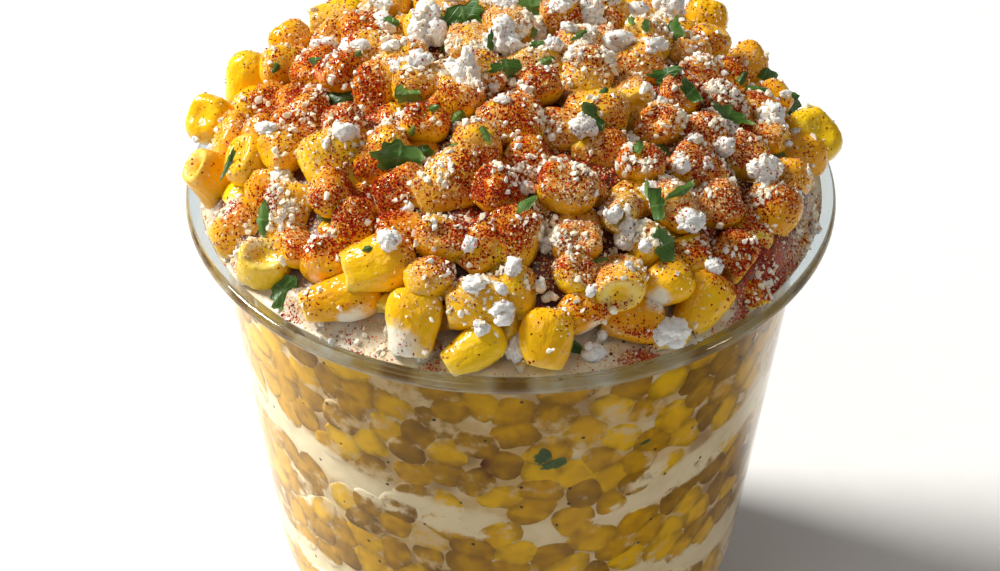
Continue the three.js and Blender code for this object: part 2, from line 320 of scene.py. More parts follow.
class EsquitesToppings(bpy.types.PropertyGroup):
    """Cheese, chili powder and leaf."""

    cheese_crumbs: FloatProperty(
        name="Cheese crumbs", default=3.2,
        description="Small crumbs for each square millimetre where they lie thick")
    cheese_grains: FloatProperty(
        name="Cheese grains", default=3.8,
        description="Fine cheese grains for each square millimetre where they lie thick")
    chili_grains: FloatProperty(
        name="Chili grains", default=13.0,
        description="Chili flakes for each square millimetre where they lie thick")
    cheese: colour_setting("Cheese", "#FDFEFC", "Colour of the crumbled cheese")
    leaf: colour_setting("Leaf", "#2C5A10", "Colour of the leaf's upper side")


class EsquitesSettings(bpy.types.PropertyGroup):
    """All settings of the cup of esquites."""

    cup: PointerProperty(type=EsquitesCup)
    contents: PointerProperty(type=EsquitesContents)
    heap: PointerProperty(type=EsquitesHeap)
    toppings: PointerProperty(type=EsquitesToppings)


def settings():
    return bpy.context.scene.esquites


# ---------------------------------------------------------------- nodes and materials


MATH, VECTOR, MIX, RANGE = "ShaderNodeMath", "ShaderNodeVectorMath", "ShaderNodeMix", "ShaderNodeMapRange"
NOISE, CELLS, BUMP = "ShaderNodeTexNoise", "ShaderNodeTexVoronoi", "ShaderNodeBump"
ATTRIBUTE, RAMP, PARTS = "ShaderNodeAttribute", "ShaderNodeValToRGB", "ShaderNodeSeparateColor"
MAPPING, RANDOM = "ShaderNodeMapping", "FunctionNodeRandomValue"
# Where a node has several sockets of one name, they go by number. A Mix node takes its factor at 0 and
# colours at 6 and 7, and gives a colour at 2. A Random Value node takes the ends of a span of vectors at
# 0 and 1, and of numbers at 2 and 3, and gives a vector at 0 and a number at 1.


def set_inputs(node, inputs):
    """Sets or links a node's inputs, numbered from 0 or named."""
    for key, value in inputs.items() if isinstance(inputs, dict) else enumerate(inputs):
        if isinstance(value, bpy.types.NodeSocket):
            node.id_data.links.new(value, node.inputs[key])
        else:
            node.inputs[key].default_value = value


def add_node(tree, kind, inputs=(), ramp=(), **options):
    """Adds a node with its options, its inputs and the evenly spaced colours of its ramp, and gives its
    outputs."""
    node = tree.nodes.new(kind)
    for name, value in options.items():
        setattr(node, name, value)
    set_inputs(node, inputs)
    if ramp:
        stops = node.color_ramp.elements
        stops[0].color, stops[1].color = linear(ramp[0]), linear(ramp[-1])
        for i, colour in enumerate(ramp[1:-1], 1):
            stops.new(i / (len(ramp) - 1)).color = linear(colour)
    return node.outputs


def new_material(name):
    """A material, what adds a node to it, its Principled shader, and its Object coordinates."""
    material = bpy.data.materials.new(name)
    material.use_nodes = True
    add = partial(add_node, material.node_tree)
    return material, add, material.node_tree.nodes["Principled BSDF"], add("ShaderNodeTexCoord")["Object"]


def broken_up(add, name, mottle, low, high):
    """An attribute that counts only where a mottle is high."""
    here = add(RANGE, (mottle, low, high), interpolation_type="SMOOTHSTEP")[0]
    return add(MATH, (add(ATTRIBUTE, attribute_name=name)["Fac"], here), operation="MULTIPLY")[0]


def oiled(add, mottle, low, high, share, under, oil):
    """A colour stained by the oil that chili powder gives off."""
    chili = add(ATTRIBUTE, attribute_name="chili")["Fac"]
    spread = add(MATH, (mottle, 0.5, chili), operation="MULTIPLY_ADD")[0]
    spread = add(RANGE, (spread, low, high), interpolation_type="SMOOTHSTEP")[0]
    spread = add(MATH, (spread, share), operation="MULTIPLY")[0]
    return add(MIX, {0: spread, 6: under, 7: linear(oil)}, data_type="RGBA")[2]


GRAIN_SIZE = 0.3  # the powder's finest grains
# Colours of each powder, which channel of chance it goes by, and how much thicker it lies in a clump than
# in between, and in between.
CHILI_COLOURS = ("#4A0802", "#9C1002", "#BC2403", "#DE5C0C")
POWDERS = {"crumb": (("#F8E8C6", "#F0CC90", "#E0A254", "#C87630"), 1, -1.0, 1.5),
           "chili": (CHILI_COLOURS, 0, 1.0, 0.45)}


def powder_layer(add, place, under, *covers):
    """Loose powder drawn on a surface, as thick as the covers' attributes say: each cell is one grain,
    bare or of one kind by chance, and the kinds gather in different spots. Gives the colour with the
    powder on it, and where grains lie."""
    jitter = add(NOISE, {"Vector": place, "Scale": 1 / (0.35 * MM), "Detail": 1.0})["Color"]
    moved = add(VECTOR, (jitter, (0.28 * MM,) * 3, place), operation="MULTIPLY_ADD")[0]
    cells = add(CELLS, {"Vector": moved, "Scale": 1 / (GRAIN_SIZE * MM)})
    chance = add(PARTS, (cells["Color"],))
    inside = add(MATH, (cells["Distance"], 0.56), operation="LESS_THAN")[0]
    clump = add(NOISE, {"Vector": place, "Scale": 1 / (2.4 * MM), "Detail": 3})[0]
    clump = add(RANGE, (clump, 0.38, 0.62), interpolation_type="SMOOTHSTEP")[0]
    colour, grains = under, 0.0
    for cover in covers:
        colours, channel, gathered, spread = POWDERS[cover]
        likely = add(MATH, (clump, gathered, spread), operation="MULTIPLY_ADD")[0]
        cover = add(ATTRIBUTE, attribute_name=cover)["Fac"]
        likely = add(MATH, (cover, likely), operation="MULTIPLY")[0]
        here = add(MATH, (chance[channel], likely), operation="LESS_THAN")[0]
        here = add(MATH, (here, inside), operation="MULTIPLY")[0]
        grain = add(RAMP, (chance[2],), ramp=colours)[0]
        colour = add(MIX, {0: here, 6: colour, 7: grain}, data_type="RGBA")[2]
        grains = add(MATH, (grains, here), operation="MAXIMUM")[0]
    return colour, grains


def clear_plastic():
    """Clear PET, thermoformed: glassy, very smooth, with the slight waves that forming leaves, and with
    reflections on its flare and rolled edge only, where a grey-blue tint is painted shade and dark
    reflection together with the thick plastic's own tint. Lamps shine through it, so that what it holds is
    lit."""
    material, add, shader, place = new_material("clear_pet_thermoformed")
    height = add("ShaderNodeSeparateXYZ", (place,))[2]
    flare = ((CUP_HEIGHT - FLARE_DEPTH) * MM, (CUP_HEIGHT - 2) * MM)
    # Over the flare and rolled edge the grey-blue tint is painted shade and dark reflection, with some of
    # the thick plastic's own tint.
    rim = add(RANGE, (height, *flare), interpolation_type="SMOOTHSTEP")[0]
    waves = add(NOISE, {"Vector": place, "Scale": 1 / (9 * MM), "Detail": 1})[0]
    colour = settings().cup.colour
    set_inputs(shader, {
        "Base Color": add(MIX, {0: rim, 6: colour, 7: linear("#CAD4DA")}, data_type="RGBA")[2],
        "Specular Tint": add(MIX, {0: rim, 6: (0, 0, 0, 1), 7: (1, 1, 1, 1)}, data_type="RGBA")[2],
        "Roughness": 0.04, "IOR": 1.5, "Transmission Weight": 1.0,
        "Normal": add(BUMP, {"Height": waves, "Distance": 0.05 * MM})[0]})
    lamp = add("ShaderNodeLightPath")["Is Shadow Ray"]
    clear = add("ShaderNodeBsdfTransparent")[0]
    surface = add("ShaderNodeMixShader", (lamp, shader.outputs[0], clear))[0]
    set_inputs(material.node_tree.nodes["Material Output"], {"Surface": surface})
    return material


def kernel_skin():
    """Boiled sweet corn: a taut, wet, translucent skin, yellow to amber, with soft folds along the
    kernel, paler at the cut end, darkened to red-brown deep in the heap by painted shade mixed with chili,
    filmed with cream low in the heap and sprinkled with powder on top."""
    heap, contents = settings().heap, settings().contents
    material, add, shader, place = new_material("sweetcorn_skin_boiled")
    mottle = add(NOISE, {"Vector": place, "Scale": 1 / (3.5 * MM)})[0]
    tone = add(ATTRIBUTE, attribute_name="tone")["Fac"]
    tone = add(MATH, (mottle, 0.5, tone), operation="MULTIPLY_ADD", use_clamp=True)[0]
    skin = add(MIX, {0: tone, 6: heap.bright, 7: heap.deep}, data_type="RGBA")[2]
    cut_end = add(ATTRIBUTE, attribute_name="cut_end")["Fac"]
    skin = add(MIX, {0: cut_end, 6: skin, 7: linear("#F6DE7C")}, data_type="RGBA")[2]
    # Deep in the heap the skin darkens to red-brown: painted shade between the kernels, mixed with chili in
    # the gaps.
    stain = broken_up(add, "stain", mottle, 0.2, 0.65)
    skin = add(MIX, {0: stain, 6: skin, 7: linear("#561602")}, data_type="RGBA")[2]
    skin = oiled(add, mottle, 0.25, 1.0, 0.6, skin, "#C24A04")
    milky = broken_up(add, "crumb", mottle, 0.3, 0.6)
    skin = add(MIX, {0: milky, 6: skin, 7: linear("#E2A858")}, data_type="RGBA")[2]
    streaks = add(NOISE, {"Vector": place, "Scale": 1 / (2.2 * MM), "Detail": 3})[0]
    streaks = add(MATH, (streaks, 0.8, -0.4), operation="MULTIPLY_ADD")[0]
    film = add(MATH, (add(ATTRIBUTE, attribute_name="film")["Fac"], streaks), operation="ADD")[0]
    film = add(RANGE, (film, 0.35, 0.75), interpolation_type="SMOOTHSTEP")[0]
    skin = add(MIX, {0: film, 6: skin, 7: contents.cream}, data_type="RGBA")[2]
    colour, grains = powder_layer(add, place, skin, "crumb", "chili")
    wet = add(MATH, (film, 0.24, 0.11), operation="MULTIPLY_ADD")[0]
    dusty = add(MATH, (grains, 0.8), operation="MULTIPLY")[0]
    along = add(ATTRIBUTE, attribute_name="skin")["Vector"]
    along = add(MAPPING, {"Vector": along, "Scale": (1, 1, 0.65)})[0]
    folds = add(NOISE, {"Vector": along, "Scale": 1 / (1.7 * MM), "Detail": 3})[0]
    folds = add(BUMP, {"Height": folds, "Distance": 0.8 * MM, "Strength": 0.7})[0]
    relief = add(BUMP, {"Height": grains, "Distance": 0.16 * MM, "Strength": 0.9, "Normal": folds})[0]
    set_inputs(shader, {
        "Base Color": colour, "IOR": 1.4, "Normal": relief,
        "Roughness": add(MATH, (wet, dusty), operation="MAXIMUM")[0],
        "Specular IOR Level": add(MATH, (grains, -0.45, 0.55), operation="MULTIPLY_ADD")[0],
        "Subsurface Weight": 0.25, "Subsurface Radius": (1.0, 0.8, 0.2), "Subsurface Scale": 1.8 * MM})
    return material


def wall_film(add, place):
    """Where cream films a pressed kernel: ragged at the kernel's edge, wispy across it."""
    ragged = add(NOISE, {"Vector": place, "Scale": 1 / (1.5 * MM), "Detail": 4, "Roughness": 0.6})[0]
    level = add(MAPPING, {"Vector": place, "Scale": (1, 1, 1.8)})[0]
    wisps = add(NOISE, {"Vector": level, "Scale": 1 / (6 * MM), "Detail": 3})[0]
    film = add(ATTRIBUTE, attribute_name="film")["Fac"]
    film = add(MATH, (ragged, 1.9, film), operation="MULTIPLY_ADD")[0]
    film = add(MATH, (wisps, 2.4, film), operation="MULTIPLY_ADD")[0]
    return add(RANGE, (film, 2.3, 3.0), interpolation_type="SMOOTHSTEP")[0]


def flecked(add, place, under, share):
    """Flecks of herb and chili stirred into the cream, about half a millimetre across: one in each of
    a share of the cells of 1.7 mm."""
    cells = add(CELLS, {"Vector": place, "Scale": 1 / (1.7 * MM)})
    chance = add(PARTS, (cells["Color"],))
    picked = add(MATH, (chance[0], share), operation="LESS_THAN")[0]
    near = add(MATH, (cells["Distance"], 0.17), operation="LESS_THAN")[0]
    here = add(MATH, (picked, near), operation="MULTIPLY")[0]
    fleck = add(RAMP, (chance[1],), ramp=("#14180A", "#2C4412", "#6A2008"))[0]
    return add(MIX, {0: here, 6: under, 7: fleck}, data_type="RGBA")[2]


def pressed_kernel_skin():
    """Sweet corn pressed flat to the cup's wall, where it has no gloss of its own: amber, with painted
    shade where its edge turns away, and dull where cream films it, yellow among kernels and white near a
    band."""
    contents = settings().contents
    material, add, shader, place = new_material("sweetcorn_skin_pressed")
    mottle = add(NOISE, {"Vector": place, "Scale": 1 / (2.4 * MM), "Detail": 3})[0]
    tone = add(ATTRIBUTE, attribute_name="tone")["Fac"]
    tone = add(MATH, (mottle, 0.9, tone), operation="MULTIPLY_ADD", use_clamp=True)[0]
    skin = add(RAMP, (tone,), ramp=("#F0C808", "#D8AA00", "#B08600", "#805C00"))[0]
    # Painted shade where the kernel's edge turns away from the wall.
    edge = add(MATH, (broken_up(add, "edge", mottle, 0.3, 0.6), 0.5), operation="MULTIPLY")[0]
    skin = add(MIX, {0: edge, 6: skin, 7: linear("#6E4804")}, data_type="RGBA")[2]
    stain = add(ATTRIBUTE, attribute_name="stain")["Fac"]
    skin = add(MIX, {0: stain, 6: skin, 7: linear("#5A1606")}, data_type="RGBA")[2]
    veil = add(ATTRIBUTE, attribute_name="veil")["Fac"]
    cream = add(MIX, {0: veil, 6: contents.juice, 7: contents.cream}, data_type="RGBA")[2]
    colour = add(MIX, {0: wall_film(add, place), 6: skin, 7: cream}, data_type="RGBA")[2]
    set_inputs(shader, {
        "Base Color": flecked(add, place, colour, 0.1), "Roughness": 0.5, "Specular IOR Level": 0.0,
        "Subsurface Weight": 0.08, "Subsurface Radius": (1.0, 0.8, 0.25), "Subsurface Scale": 1.0 * MM,
        "Normal": add(BUMP, {"Height": mottle, "Distance": 0.35 * MM, "Strength": 0.6})[0]})
    return material


def thick_cream():
    """Mexican crema with mayonnaise: thick, satin, off-white, stained yellow among the kernels and
    brown-red under the chili, with sunken kernels showing through it at the wall along with painted shade
    between them, and painted red-brown shade, mixed with chili, where it lies in the gaps under the heap."""
    contents = settings().contents
    material, add, shader, place = new_material("crema_whipped")
    mottle = add(NOISE, {"Vector": place, "Scale": 1 / (4.5 * MM), "Detail": 3})[0]
    uneven = add(RANGE, (mottle, 0.4, 0.7), interpolation_type="SMOOTHSTEP")[0]
    cream = add(MIX, {0: uneven, 6: contents.cream, 7: linear("#E6DAC2")}, data_type="RGBA")[2]
    juice = broken_up(add, "juice", mottle, 0.2, 0.65)
    cream = add(MIX, {0: juice, 6: cream, 7: contents.juice}, data_type="RGBA")[2]
    # Amber cells at the wall: sunken kernels seen through the cream, darkened with painted shade between
    # the kernels.
    sunk = add(CELLS, {"Vector": place, "Scale": 1 / (6.2 * MM), "Smoothness": 0.5}, feature="SMOOTH_F1")
    sunk = add(MATH, (mottle, 0.5, sunk["Distance"]), operation="MULTIPLY_ADD")[0]
    sunk = add(RANGE, (sunk, 0.75, 0.5), interpolation_type="SMOOTHSTEP")[0]
    sunk = add(MATH, (sunk, add(ATTRIBUTE, attribute_name="juice")["Fac"]), operation="MULTIPLY")[0]
    sunk = add(MATH, (sunk, 0.85), operation="MULTIPLY")[0]
    cream = add(MIX, {0: sunk, 6: cream, 7: linear("#8A5C06")}, data_type="RGBA")[2]
    # Higher up, under the heap, the cream darkens to red-brown: painted shade in the gaps between kernels,
    # mixed with chili.
    stain = add(ATTRIBUTE, attribute_name="stain")["Fac"]
    cream = add(MIX, {0: stain, 6: cream, 7: linear("#4A1403")}, data_type="RGBA")[2]
    cream = oiled(add, mottle, 0.35, 1.1, 0.85, cream, "#A04A14")
    cream = flecked(add, place, cream, 0.12)
    colour, grains = powder_layer(add, place, cream, "crumb", "chili")
    soft = add(NOISE, {"Vector": place, "Scale": 1 / (2.0 * MM)})[0]
    soft = add(BUMP, {"Height": soft, "Distance": 0.3 * MM, "Strength": 0.5})[0]
    relief = add(BUMP, {"Height": grains, "Distance": 0.12 * MM, "Strength": 0.7, "Normal": soft})[0]
    bare = add(ATTRIBUTE, attribute_name="open")["Fac"]
    set_inputs(shader, {
        "Base Color": colour, "Roughness": 0.38, "Normal": relief,
        "Specular IOR Level": add(MATH, (bare, 0.5), operation="MULTIPLY")[0],
        "Subsurface Weight": 0.25, "Subsurface Radius": (1.0, 0.8, 0.5), "Subsurface Scale": 1.5 * MM})
    return material


def crumbled_cheese():
    """Fresh cotija, crumbled by hand: chalky white, dry, with a mealy broken face."""
    material, add, shader, place = new_material("cotija_crumbled")
    mottle = add(NOISE, {"Vector": place, "Scale": 1 / (1.6 * MM), "Detail": 3})[0]
    mottle = add(RANGE, (mottle, 0.4, 0.8), interpolation_type="SMOOTHSTEP")[0]
    white = add(MIX, {0: mottle, 6: settings().toppings.cheese, 7: linear("#F8F4EA")}, data_type="RGBA")[2]
    stain = add(ATTRIBUTE, attribute_name="stain")["Fac"]
    white = add(MIX, {0: stain, 6: white, 7: linear("#E9A765")}, data_type="RGBA")[2]
    meal = add(NOISE, {"Vector": place, "Scale": 1 / (0.6 * MM), "Detail": 3, "Roughness": 0.65})[0]
    set_inputs(shader, {
        "Base Color": powder_layer(add, place, white, "chili")[0], "Roughness": 0.62,
        "Subsurface Weight": 0.3, "Subsurface Radius": (1.0, 0.9, 0.75), "Subsurface Scale": 1.2 * MM,
        "Normal": add(BUMP, {"Height": meal, "Distance": 0.3 * MM, "Strength": 0.9})[0]})
    return material


def cheese_meal():
    """The finest crumbs of the same cheese, many of them tinted by the chili round them."""
    material, add, shader, place = new_material("cotija_meal")
    mottle = add(NOISE, {"Vector": place, "Scale": 1 / (0.6 * MM)})[0]
    shade = add(ATTRIBUTE, attribute_name="shade")["Fac"]
    colour = add(RAMP, (shade,), ramp=("#FDFBF4", "#F9EBCC", "#EEC78C", "#D89A54"))[0]
    uneven = add(MATH, (mottle, 0.15), operation="MULTIPLY")[0]
    set_inputs(shader, {
        "Base Color": add(MIX, {0: uneven, 6: colour, 7: linear("#D9B48A")}, data_type="RGBA")[2],
        "Roughness": 0.6, "Subsurface Weight": 0.2, "Subsurface Radius": (1.0, 0.85, 0.7),
        "Subsurface Scale": 0.4 * MM,
        "Normal": add(BUMP, {"Height": mottle, "Distance": 0.08 * MM, "Strength": 0.6})[0]})
    return material


def chili_powder():
    """Dried red chili, ground coarse: matt flakes from dark brown to brick red, some orange."""
    material, add, shader, place = new_material("chili_ground")
    mottle = add(NOISE, {"Vector": place, "Scale": 1 / (0.4 * MM)})[0]
    colour = add(RAMP, (add(ATTRIBUTE, attribute_name="shade")["Fac"],), ramp=CHILI_COLOURS)[0]
    uneven = add(MATH, (mottle, 0.3), operation="MULTIPLY")[0]
    set_inputs(shader, {
        "Base Color": add(MIX, {0: uneven, 6: colour, 7: linear("#4A0C02")}, data_type="RGBA")[2],
        "Roughness": 0.7, "Specular IOR Level": 0.2,
        "Normal": add(BUMP, {"Height": mottle, "Distance": 0.05 * MM, "Strength": 0.5})[0]})
    return material


def coriander_leaf():
    """Coriander leaf, chopped: thin, slightly waxy, dark green or paler where its underside shows, with
    fine veins and a pale border along the cut, partly a painted highlight on the leaf's edge."""
    material, add, shader, place = new_material("coriander_leaf_chopped")
    shade = add(ATTRIBUTE, attribute_name="shade")["Fac"]
    green = add(MIX, {0: shade, 6: settings().toppings.leaf, 7: linear("#7BA047")}, data_type="RGBA")[2]
    blade = add("ShaderNodeUVMap", uv_map="UVMap")[0]
    parts = add("ShaderNodeSeparateXYZ", (blade,))
    side = add(MATH, (add(MATH, (parts[1], 0.5), operation="SUBTRACT")[0],), operation="ABSOLUTE")[0]
    along = add(MATH, (parts[0], 5.0), operation="MULTIPLY")[0]
    slant = add(MATH, (along, add(MATH, (side, 4.0), operation="MULTIPLY")[0]), operation="SUBTRACT")[0]
    rib = add(MATH, (add(MATH, (slant,), operation="FRACT")[0], 0.5), operation="SUBTRACT")[0]
    rib = add(MATH, (rib,), operation="ABSOLUTE")[0]
    veins = []
    for away, width in ((rib, 0.12), (side, 0.05)):
        away = add(RANGE, (away, 0.0, width), interpolation_type="SMOOTHSTEP")[0]
        veins.append(add(MATH, (1.0, away), operation="SUBTRACT")[0])
    veins = add(MATH, veins, operation="MAXIMUM")[0]
    mottle = add(NOISE, {"Vector": place, "Scale": 1 / (1.2 * MM), "Detail": 3})[0]
    # The pale border is partly the cut edge's own colour and partly a painted highlight along the edge.
    border = add(VECTOR, (blade, (0.5, 0.5, 0)), operation="DISTANCE")["Value"]
    border = add(RANGE, (border, 0.4, 0.5), interpolation_type="SMOOTHSTEP")[0]
    paints = ((veins, 0.25, "#9DBB74"), (mottle, 0.5, "#0E2608"), (border, 0.3, "#8FB45C"))
    for where, share, colour in paints:
        share = add(MATH, (where, share), operation="MULTIPLY")[0]
        green = add(MIX, {0: share, 6: green, 7: linear(colour)}, data_type="RGBA")[2]
    relief = add(BUMP, {"Height": veins, "Distance": 0.08 * MM, "Strength": 0.6})[0]
    relief = add(BUMP, {"Height": mottle, "Distance": 0.15 * MM, "Strength": 0.5, "Normal": relief})[0]
    set_inputs(shader, {
        "Base Color": green, "Roughness": 0.38, "Specular IOR Level": 0.35, "Normal": relief,
        "Subsurface Weight": 0.1, "Subsurface Radius": (0.3, 1.0, 0.2), "Subsurface Scale": 0.4 * MM})
    return material


def laminate():
    """A white laminate table top, matt, with a faint mottle."""
    material, add, shader, place = new_material("laminate_white_matt")
    mottle = add(NOISE, {"Vector": place, "Scale": 1 / (6 * MM), "Detail": 4})[0]
    white = add(MIX, {0: mottle, 6: linear("#FAFAFA"), 7: linear("#F4F4F4")}, data_type="RGBA")[2]
    set_inputs(shader, {"Base Color": white, "Roughness": 0.7})
    return material


# ---------------------------------------------------------------- meshes


class Pile:
    """Collects shapes, in millimetres, with a number for each point, into one mesh."""

    def __init__(self, *attributes):
        self.points, self.faces, self.count = [], [], 0
        self.values = {name: [] for name in attributes}

    def add(self, points, faces, **values):
        points = np.asarray(points, float)
        self.points.append(points)
        self.faces.extend(tuple(int(i) + self.count for i in face) for face in faces)
        for name, store in self.values.items():
            value = np.asarray(values.get(name, 0.0), float)
            store.append(value if value.ndim else np.full(len(points), float(value)))
        self.count += len(points)

    def mesh(self, name):
        mesh = bpy.data.meshes.new(name)
        mesh.from_pydata((np.concatenate(self.points) * MM).tolist(), [], self.faces)
        mesh.polygons.foreach_set("use_smooth", np.ones(len(mesh.polygons), bool))
        for key, values in self.values.items():
            add_values(mesh, key, np.concatenate(values))
        mesh.update()
        return mesh


def add_values(mesh, name, values):
    """Keeps a number, or a vector, for each point of a mesh."""
    values = np.asarray(values, np.float32)
    kind, key = ("FLOAT_VECTOR", "vector") if values.ndim == 2 else ("FLOAT", "value")
    store = mesh.attributes.get(name) or mesh.attributes.new(name, kind, "POINT")
    store.data.foreach_set(key, values.ravel())


def finished_piece(name, mesh, material, slot, *nodes):
    """Puts a finished mesh in the scene as a piece of the object."""
    mesh.materials.clear()
    mesh.materials.append(material)
    piece = bpy.data.objects.new(name, mesh)
    bpy.context.scene.collection.objects.link(piece)
    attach(piece, "root")
    if nodes:
        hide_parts(*nodes)


def rounds(ring_count, segments, closed=True):
    """Faces of rings of points that run round a first point, and round a last one where the shape is
    closed."""
    faces = []
    for ring in range(ring_count - 1):
        low, high = 1 + ring * segments, 1 + (ring + 1) * segments
        for i in range(segments):
            j = (i + 1) % segments
            faces.append((low + i, low + j, high + j, high + i))
    faces += [(0, 1 + (i + 1) % segments, 1 + i) for i in range(segments)]
    if closed:
        end, last = 1 + ring_count * segments, 1 + (ring_count - 1) * segments
        faces += [(end, last + i, last + (i + 1) % segments) for i in range(segments)]
    return faces


def turned(profile, segments):
    """Points and faces of a profile of radius and height, turned round the Z axis. The first and last
    points of the profile are on the axis."""
    angles = round_angles(segments)
    rings = [np.column_stack([r * np.cos(angles), r * np.sin(angles), np.full(segments, z)])
             for r, z in profile[1:-1]]
    points = np.concatenate([[[0, 0, profile[0][1]]], *rings, [[0, 0, profile[-1][1]]]])
    return points, rounds(len(rings), segments)


def bend_centre():
    angle = math.atan(TAPER)
    bend_radius = settings().cup.bend_radius / MM
    radius = settings().cup.wall_radius / MM - TAPER * BEND_DEPTH - bend_radius * math.cos(angle)
    return radius, CUP_HEIGHT - BEND_DEPTH + bend_radius * math.sin(angle)


def flare_curve(inset, steps):
    """Radius and height of points up the flare, from the straight wall out to the rolled edge."""
    cup = settings().cup
    bead = cup.bead_radius / MM
    start = np.array([straight_radius(CUP_HEIGHT - FLARE_DEPTH, inset), CUP_HEIGHT - FLARE_DEPTH])
    if inset:
        end = np.array([RIM_RADIUS - 2 * bead, CUP_HEIGHT - bead / 4])
    else:
        end = np.array([RIM_RADIUS - 1.5 * bead, CUP_HEIGHT - 2 * bead])
    corner = np.array([straight_radius(end[1], inset), end[1] - bead / 4])
    share = np.linspace(0, 1, steps + 1)[:, None]
    return (1 - share) ** 2 * start + 2 * share * (1 - share) * corner + share ** 2 * end


def straight_radius(height, inset):
    wall_radius = settings().cup.wall_radius / MM
    return wall_radius - TAPER * (CUP_HEIGHT - height) - inset / math.cos(math.atan(TAPER))


def wall_radius(height, inset):
    """Radius of the wall at each height, inset by a distance from its outer surface."""
    height = np.asarray(height, float)
    centre_radius, centre_height = bend_centre()
    radius = settings().cup.bend_radius / MM - inset
    drop = np.clip(centre_height - height, 0, radius)
    curved = centre_radius + np.sqrt(radius ** 2 - drop ** 2)
    straight = straight_radius(height, inset)
    flare = flare_curve(settings().cup.wall / MM, 12)
    flared = np.interp(height, flare[:, 1], flare[:, 0]) + settings().cup.wall / MM - inset
    below = np.where(height < CUP_HEIGHT - BEND_DEPTH, curved, straight)
    return np.where(height > CUP_HEIGHT - FLARE_DEPTH, flared, below)


# ---------------------------------------------------------------- places from the photograph


def camera_matrix():
    turn = Matrix.Rotation(math.radians(CAMERA_YAW), 3, "Z")
    pitch = Matrix.Rotation(math.radians(90 - CAMERA_PITCH), 3, "X")
    roll = Matrix.Rotation(math.radians(CAMERA_ROLL), 3, "Z")
    return turn @ pitch @ roll


def pixel_ray(across, down):
    """Direction from the camera through a pixel of the photograph."""
    focal = CAMERA_LENS / SENSOR_WIDTH * PHOTO_WIDTH
    local = Vector((across - PHOTO_WIDTH / 2, PHOTO_HEIGHT / 2 - down, -focal))
    return np.array(camera_matrix() @ local.normalized())


def picture_axes():
    """Right, up and towards the camera, as the photograph shows them."""
    matrix = np.array(camera_matrix())
    return matrix[:, 0], matrix[:, 1], matrix[:, 2]


def in_picture(turn_degrees):
    """The direction in the photograph at a turn clockwise from upwards."""
    right, up, _ = picture_axes()
    turn = math.radians(turn_degrees)
    return math.cos(turn) * up + math.sin(turn) * right


def dome_point(across, down, depth):
    """The point under a pixel on the heap's outline, brought in by a depth. Where the line of sight
    misses the heap, the point on that line that passes closest to it."""
    axes = np.array([OUTLINE_RADIUS - depth, OUTLINE_RADIUS - depth, OUTLINE_HEIGHT - depth])
    origin = (np.array(CAMERA_PLACE) - (0, 0, HEAP_BASE)) / axes
    direction = pixel_ray(across, down) / axes
    a, b, c = direction @ direction, origin @ direction, origin @ origin - 1
    reach = (-b - math.sqrt(max(b * b - a * c, 0))) / a
    return (origin + reach * direction) * axes + (0, 0, HEAP_BASE)


def dome_normal(point):
    scale = np.array([OUTLINE_RADIUS ** 2, OUTLINE_RADIUS ** 2, OUTLINE_HEIGHT ** 2])
    return unit((np.asarray(point) - (0, 0, HEAP_BASE)) / scale)


WALL_REACHES = np.linspace(200, 500, 6000)[:, None]  # distances from the camera to look for the wall at


def wall_spot(across, down, inset):
    """The place on the wall, inset from its outer surface, under a pixel."""
    points = np.array(CAMERA_PLACE) + WALL_REACHES * pixel_ray(across, down)
    inside = np.hypot(points[:, 0], points[:, 1]) < wall_radius(points[:, 2], inset)
    inside &= points[:, 2] < CUP_HEIGHT - 1
    return points[np.argmax(inside)]


def patch_strength(points, patches):
    """How strong something is at each point, from patches of place, radius and strength."""
    total = np.zeros(len(points))
    for place, radius, strength in patches:
        total += strength * np.exp(-(np.linalg.norm(points - place, axis=1) / radius) ** 2)
    return total


# ---------------------------------------------------------------- cup


CUP_SEGMENTS = 144


class ESQUITES_OT_cup(bpy.types.Operator):
    """Turns the clear cup with its rolled rim and its pushed-up base"""

    bl_idname = "esquites.cup"
    bl_label = "Cup"

    def execute(self, context):
        cup = settings().cup
        wall, bead = cup.wall / MM, cup.bead_radius / MM
        bead_centre = np.array([RIM_RADIUS - bead, CUP_HEIGHT - bead])
        turn = np.linspace(-np.pi / 2, np.pi / 2, 13)[:, None]
        edge = bead_centre + bead * np.hstack([np.cos(turn), np.sin(turn)])
        heel = [(FOOT_INNER_RADIUS - 2 * RECESS_HEIGHT, RECESS_HEIGHT),
                (FOOT_INNER_RADIUS - RECESS_HEIGHT, RECESS_HEIGHT * 0.9),
                (FOOT_INNER_RADIUS - RECESS_HEIGHT / 3, RECESS_HEIGHT * 0.25),
                (FOOT_INNER_RADIUS, 0.05), (FOOT_INNER_RADIUS + 0.4, 0), (FOOT_OUTER_RADIUS - 0.4, 0)]
        heights = np.concatenate([np.linspace(0.25, CUP_HEIGHT - BEND_DEPTH, 22),
                                  np.linspace(CUP_HEIGHT - BEND_DEPTH, CUP_HEIGHT - FLARE_DEPTH, 24)[1:]])
        outside = np.column_stack([wall_radius(heights, 0), heights])
        floor = RECESS_HEIGHT + wall
        inner_heights = np.concatenate([[floor], heights[heights > floor + 0.5]])
        inside = np.column_stack([wall_radius(inner_heights, wall), inner_heights])
        profile = [(0, RECESS_HEIGHT), *heel, *outside, *flare_curve(0, 8)[1:], *edge,
                   *flare_curve(wall, 8)[1:][::-1], *inside[::-1], (0, floor)]
        points, faces = turned(profile, CUP_SEGMENTS)
        pile = Pile()
        pile.add(points, faces)
        finished_piece("clear_cup", pile.mesh("clear_cup"), clear_plastic(), "clear_plastic", "cup")
        return {"FINISHED"}


# ---------------------------------------------------------------- contents behind the wall


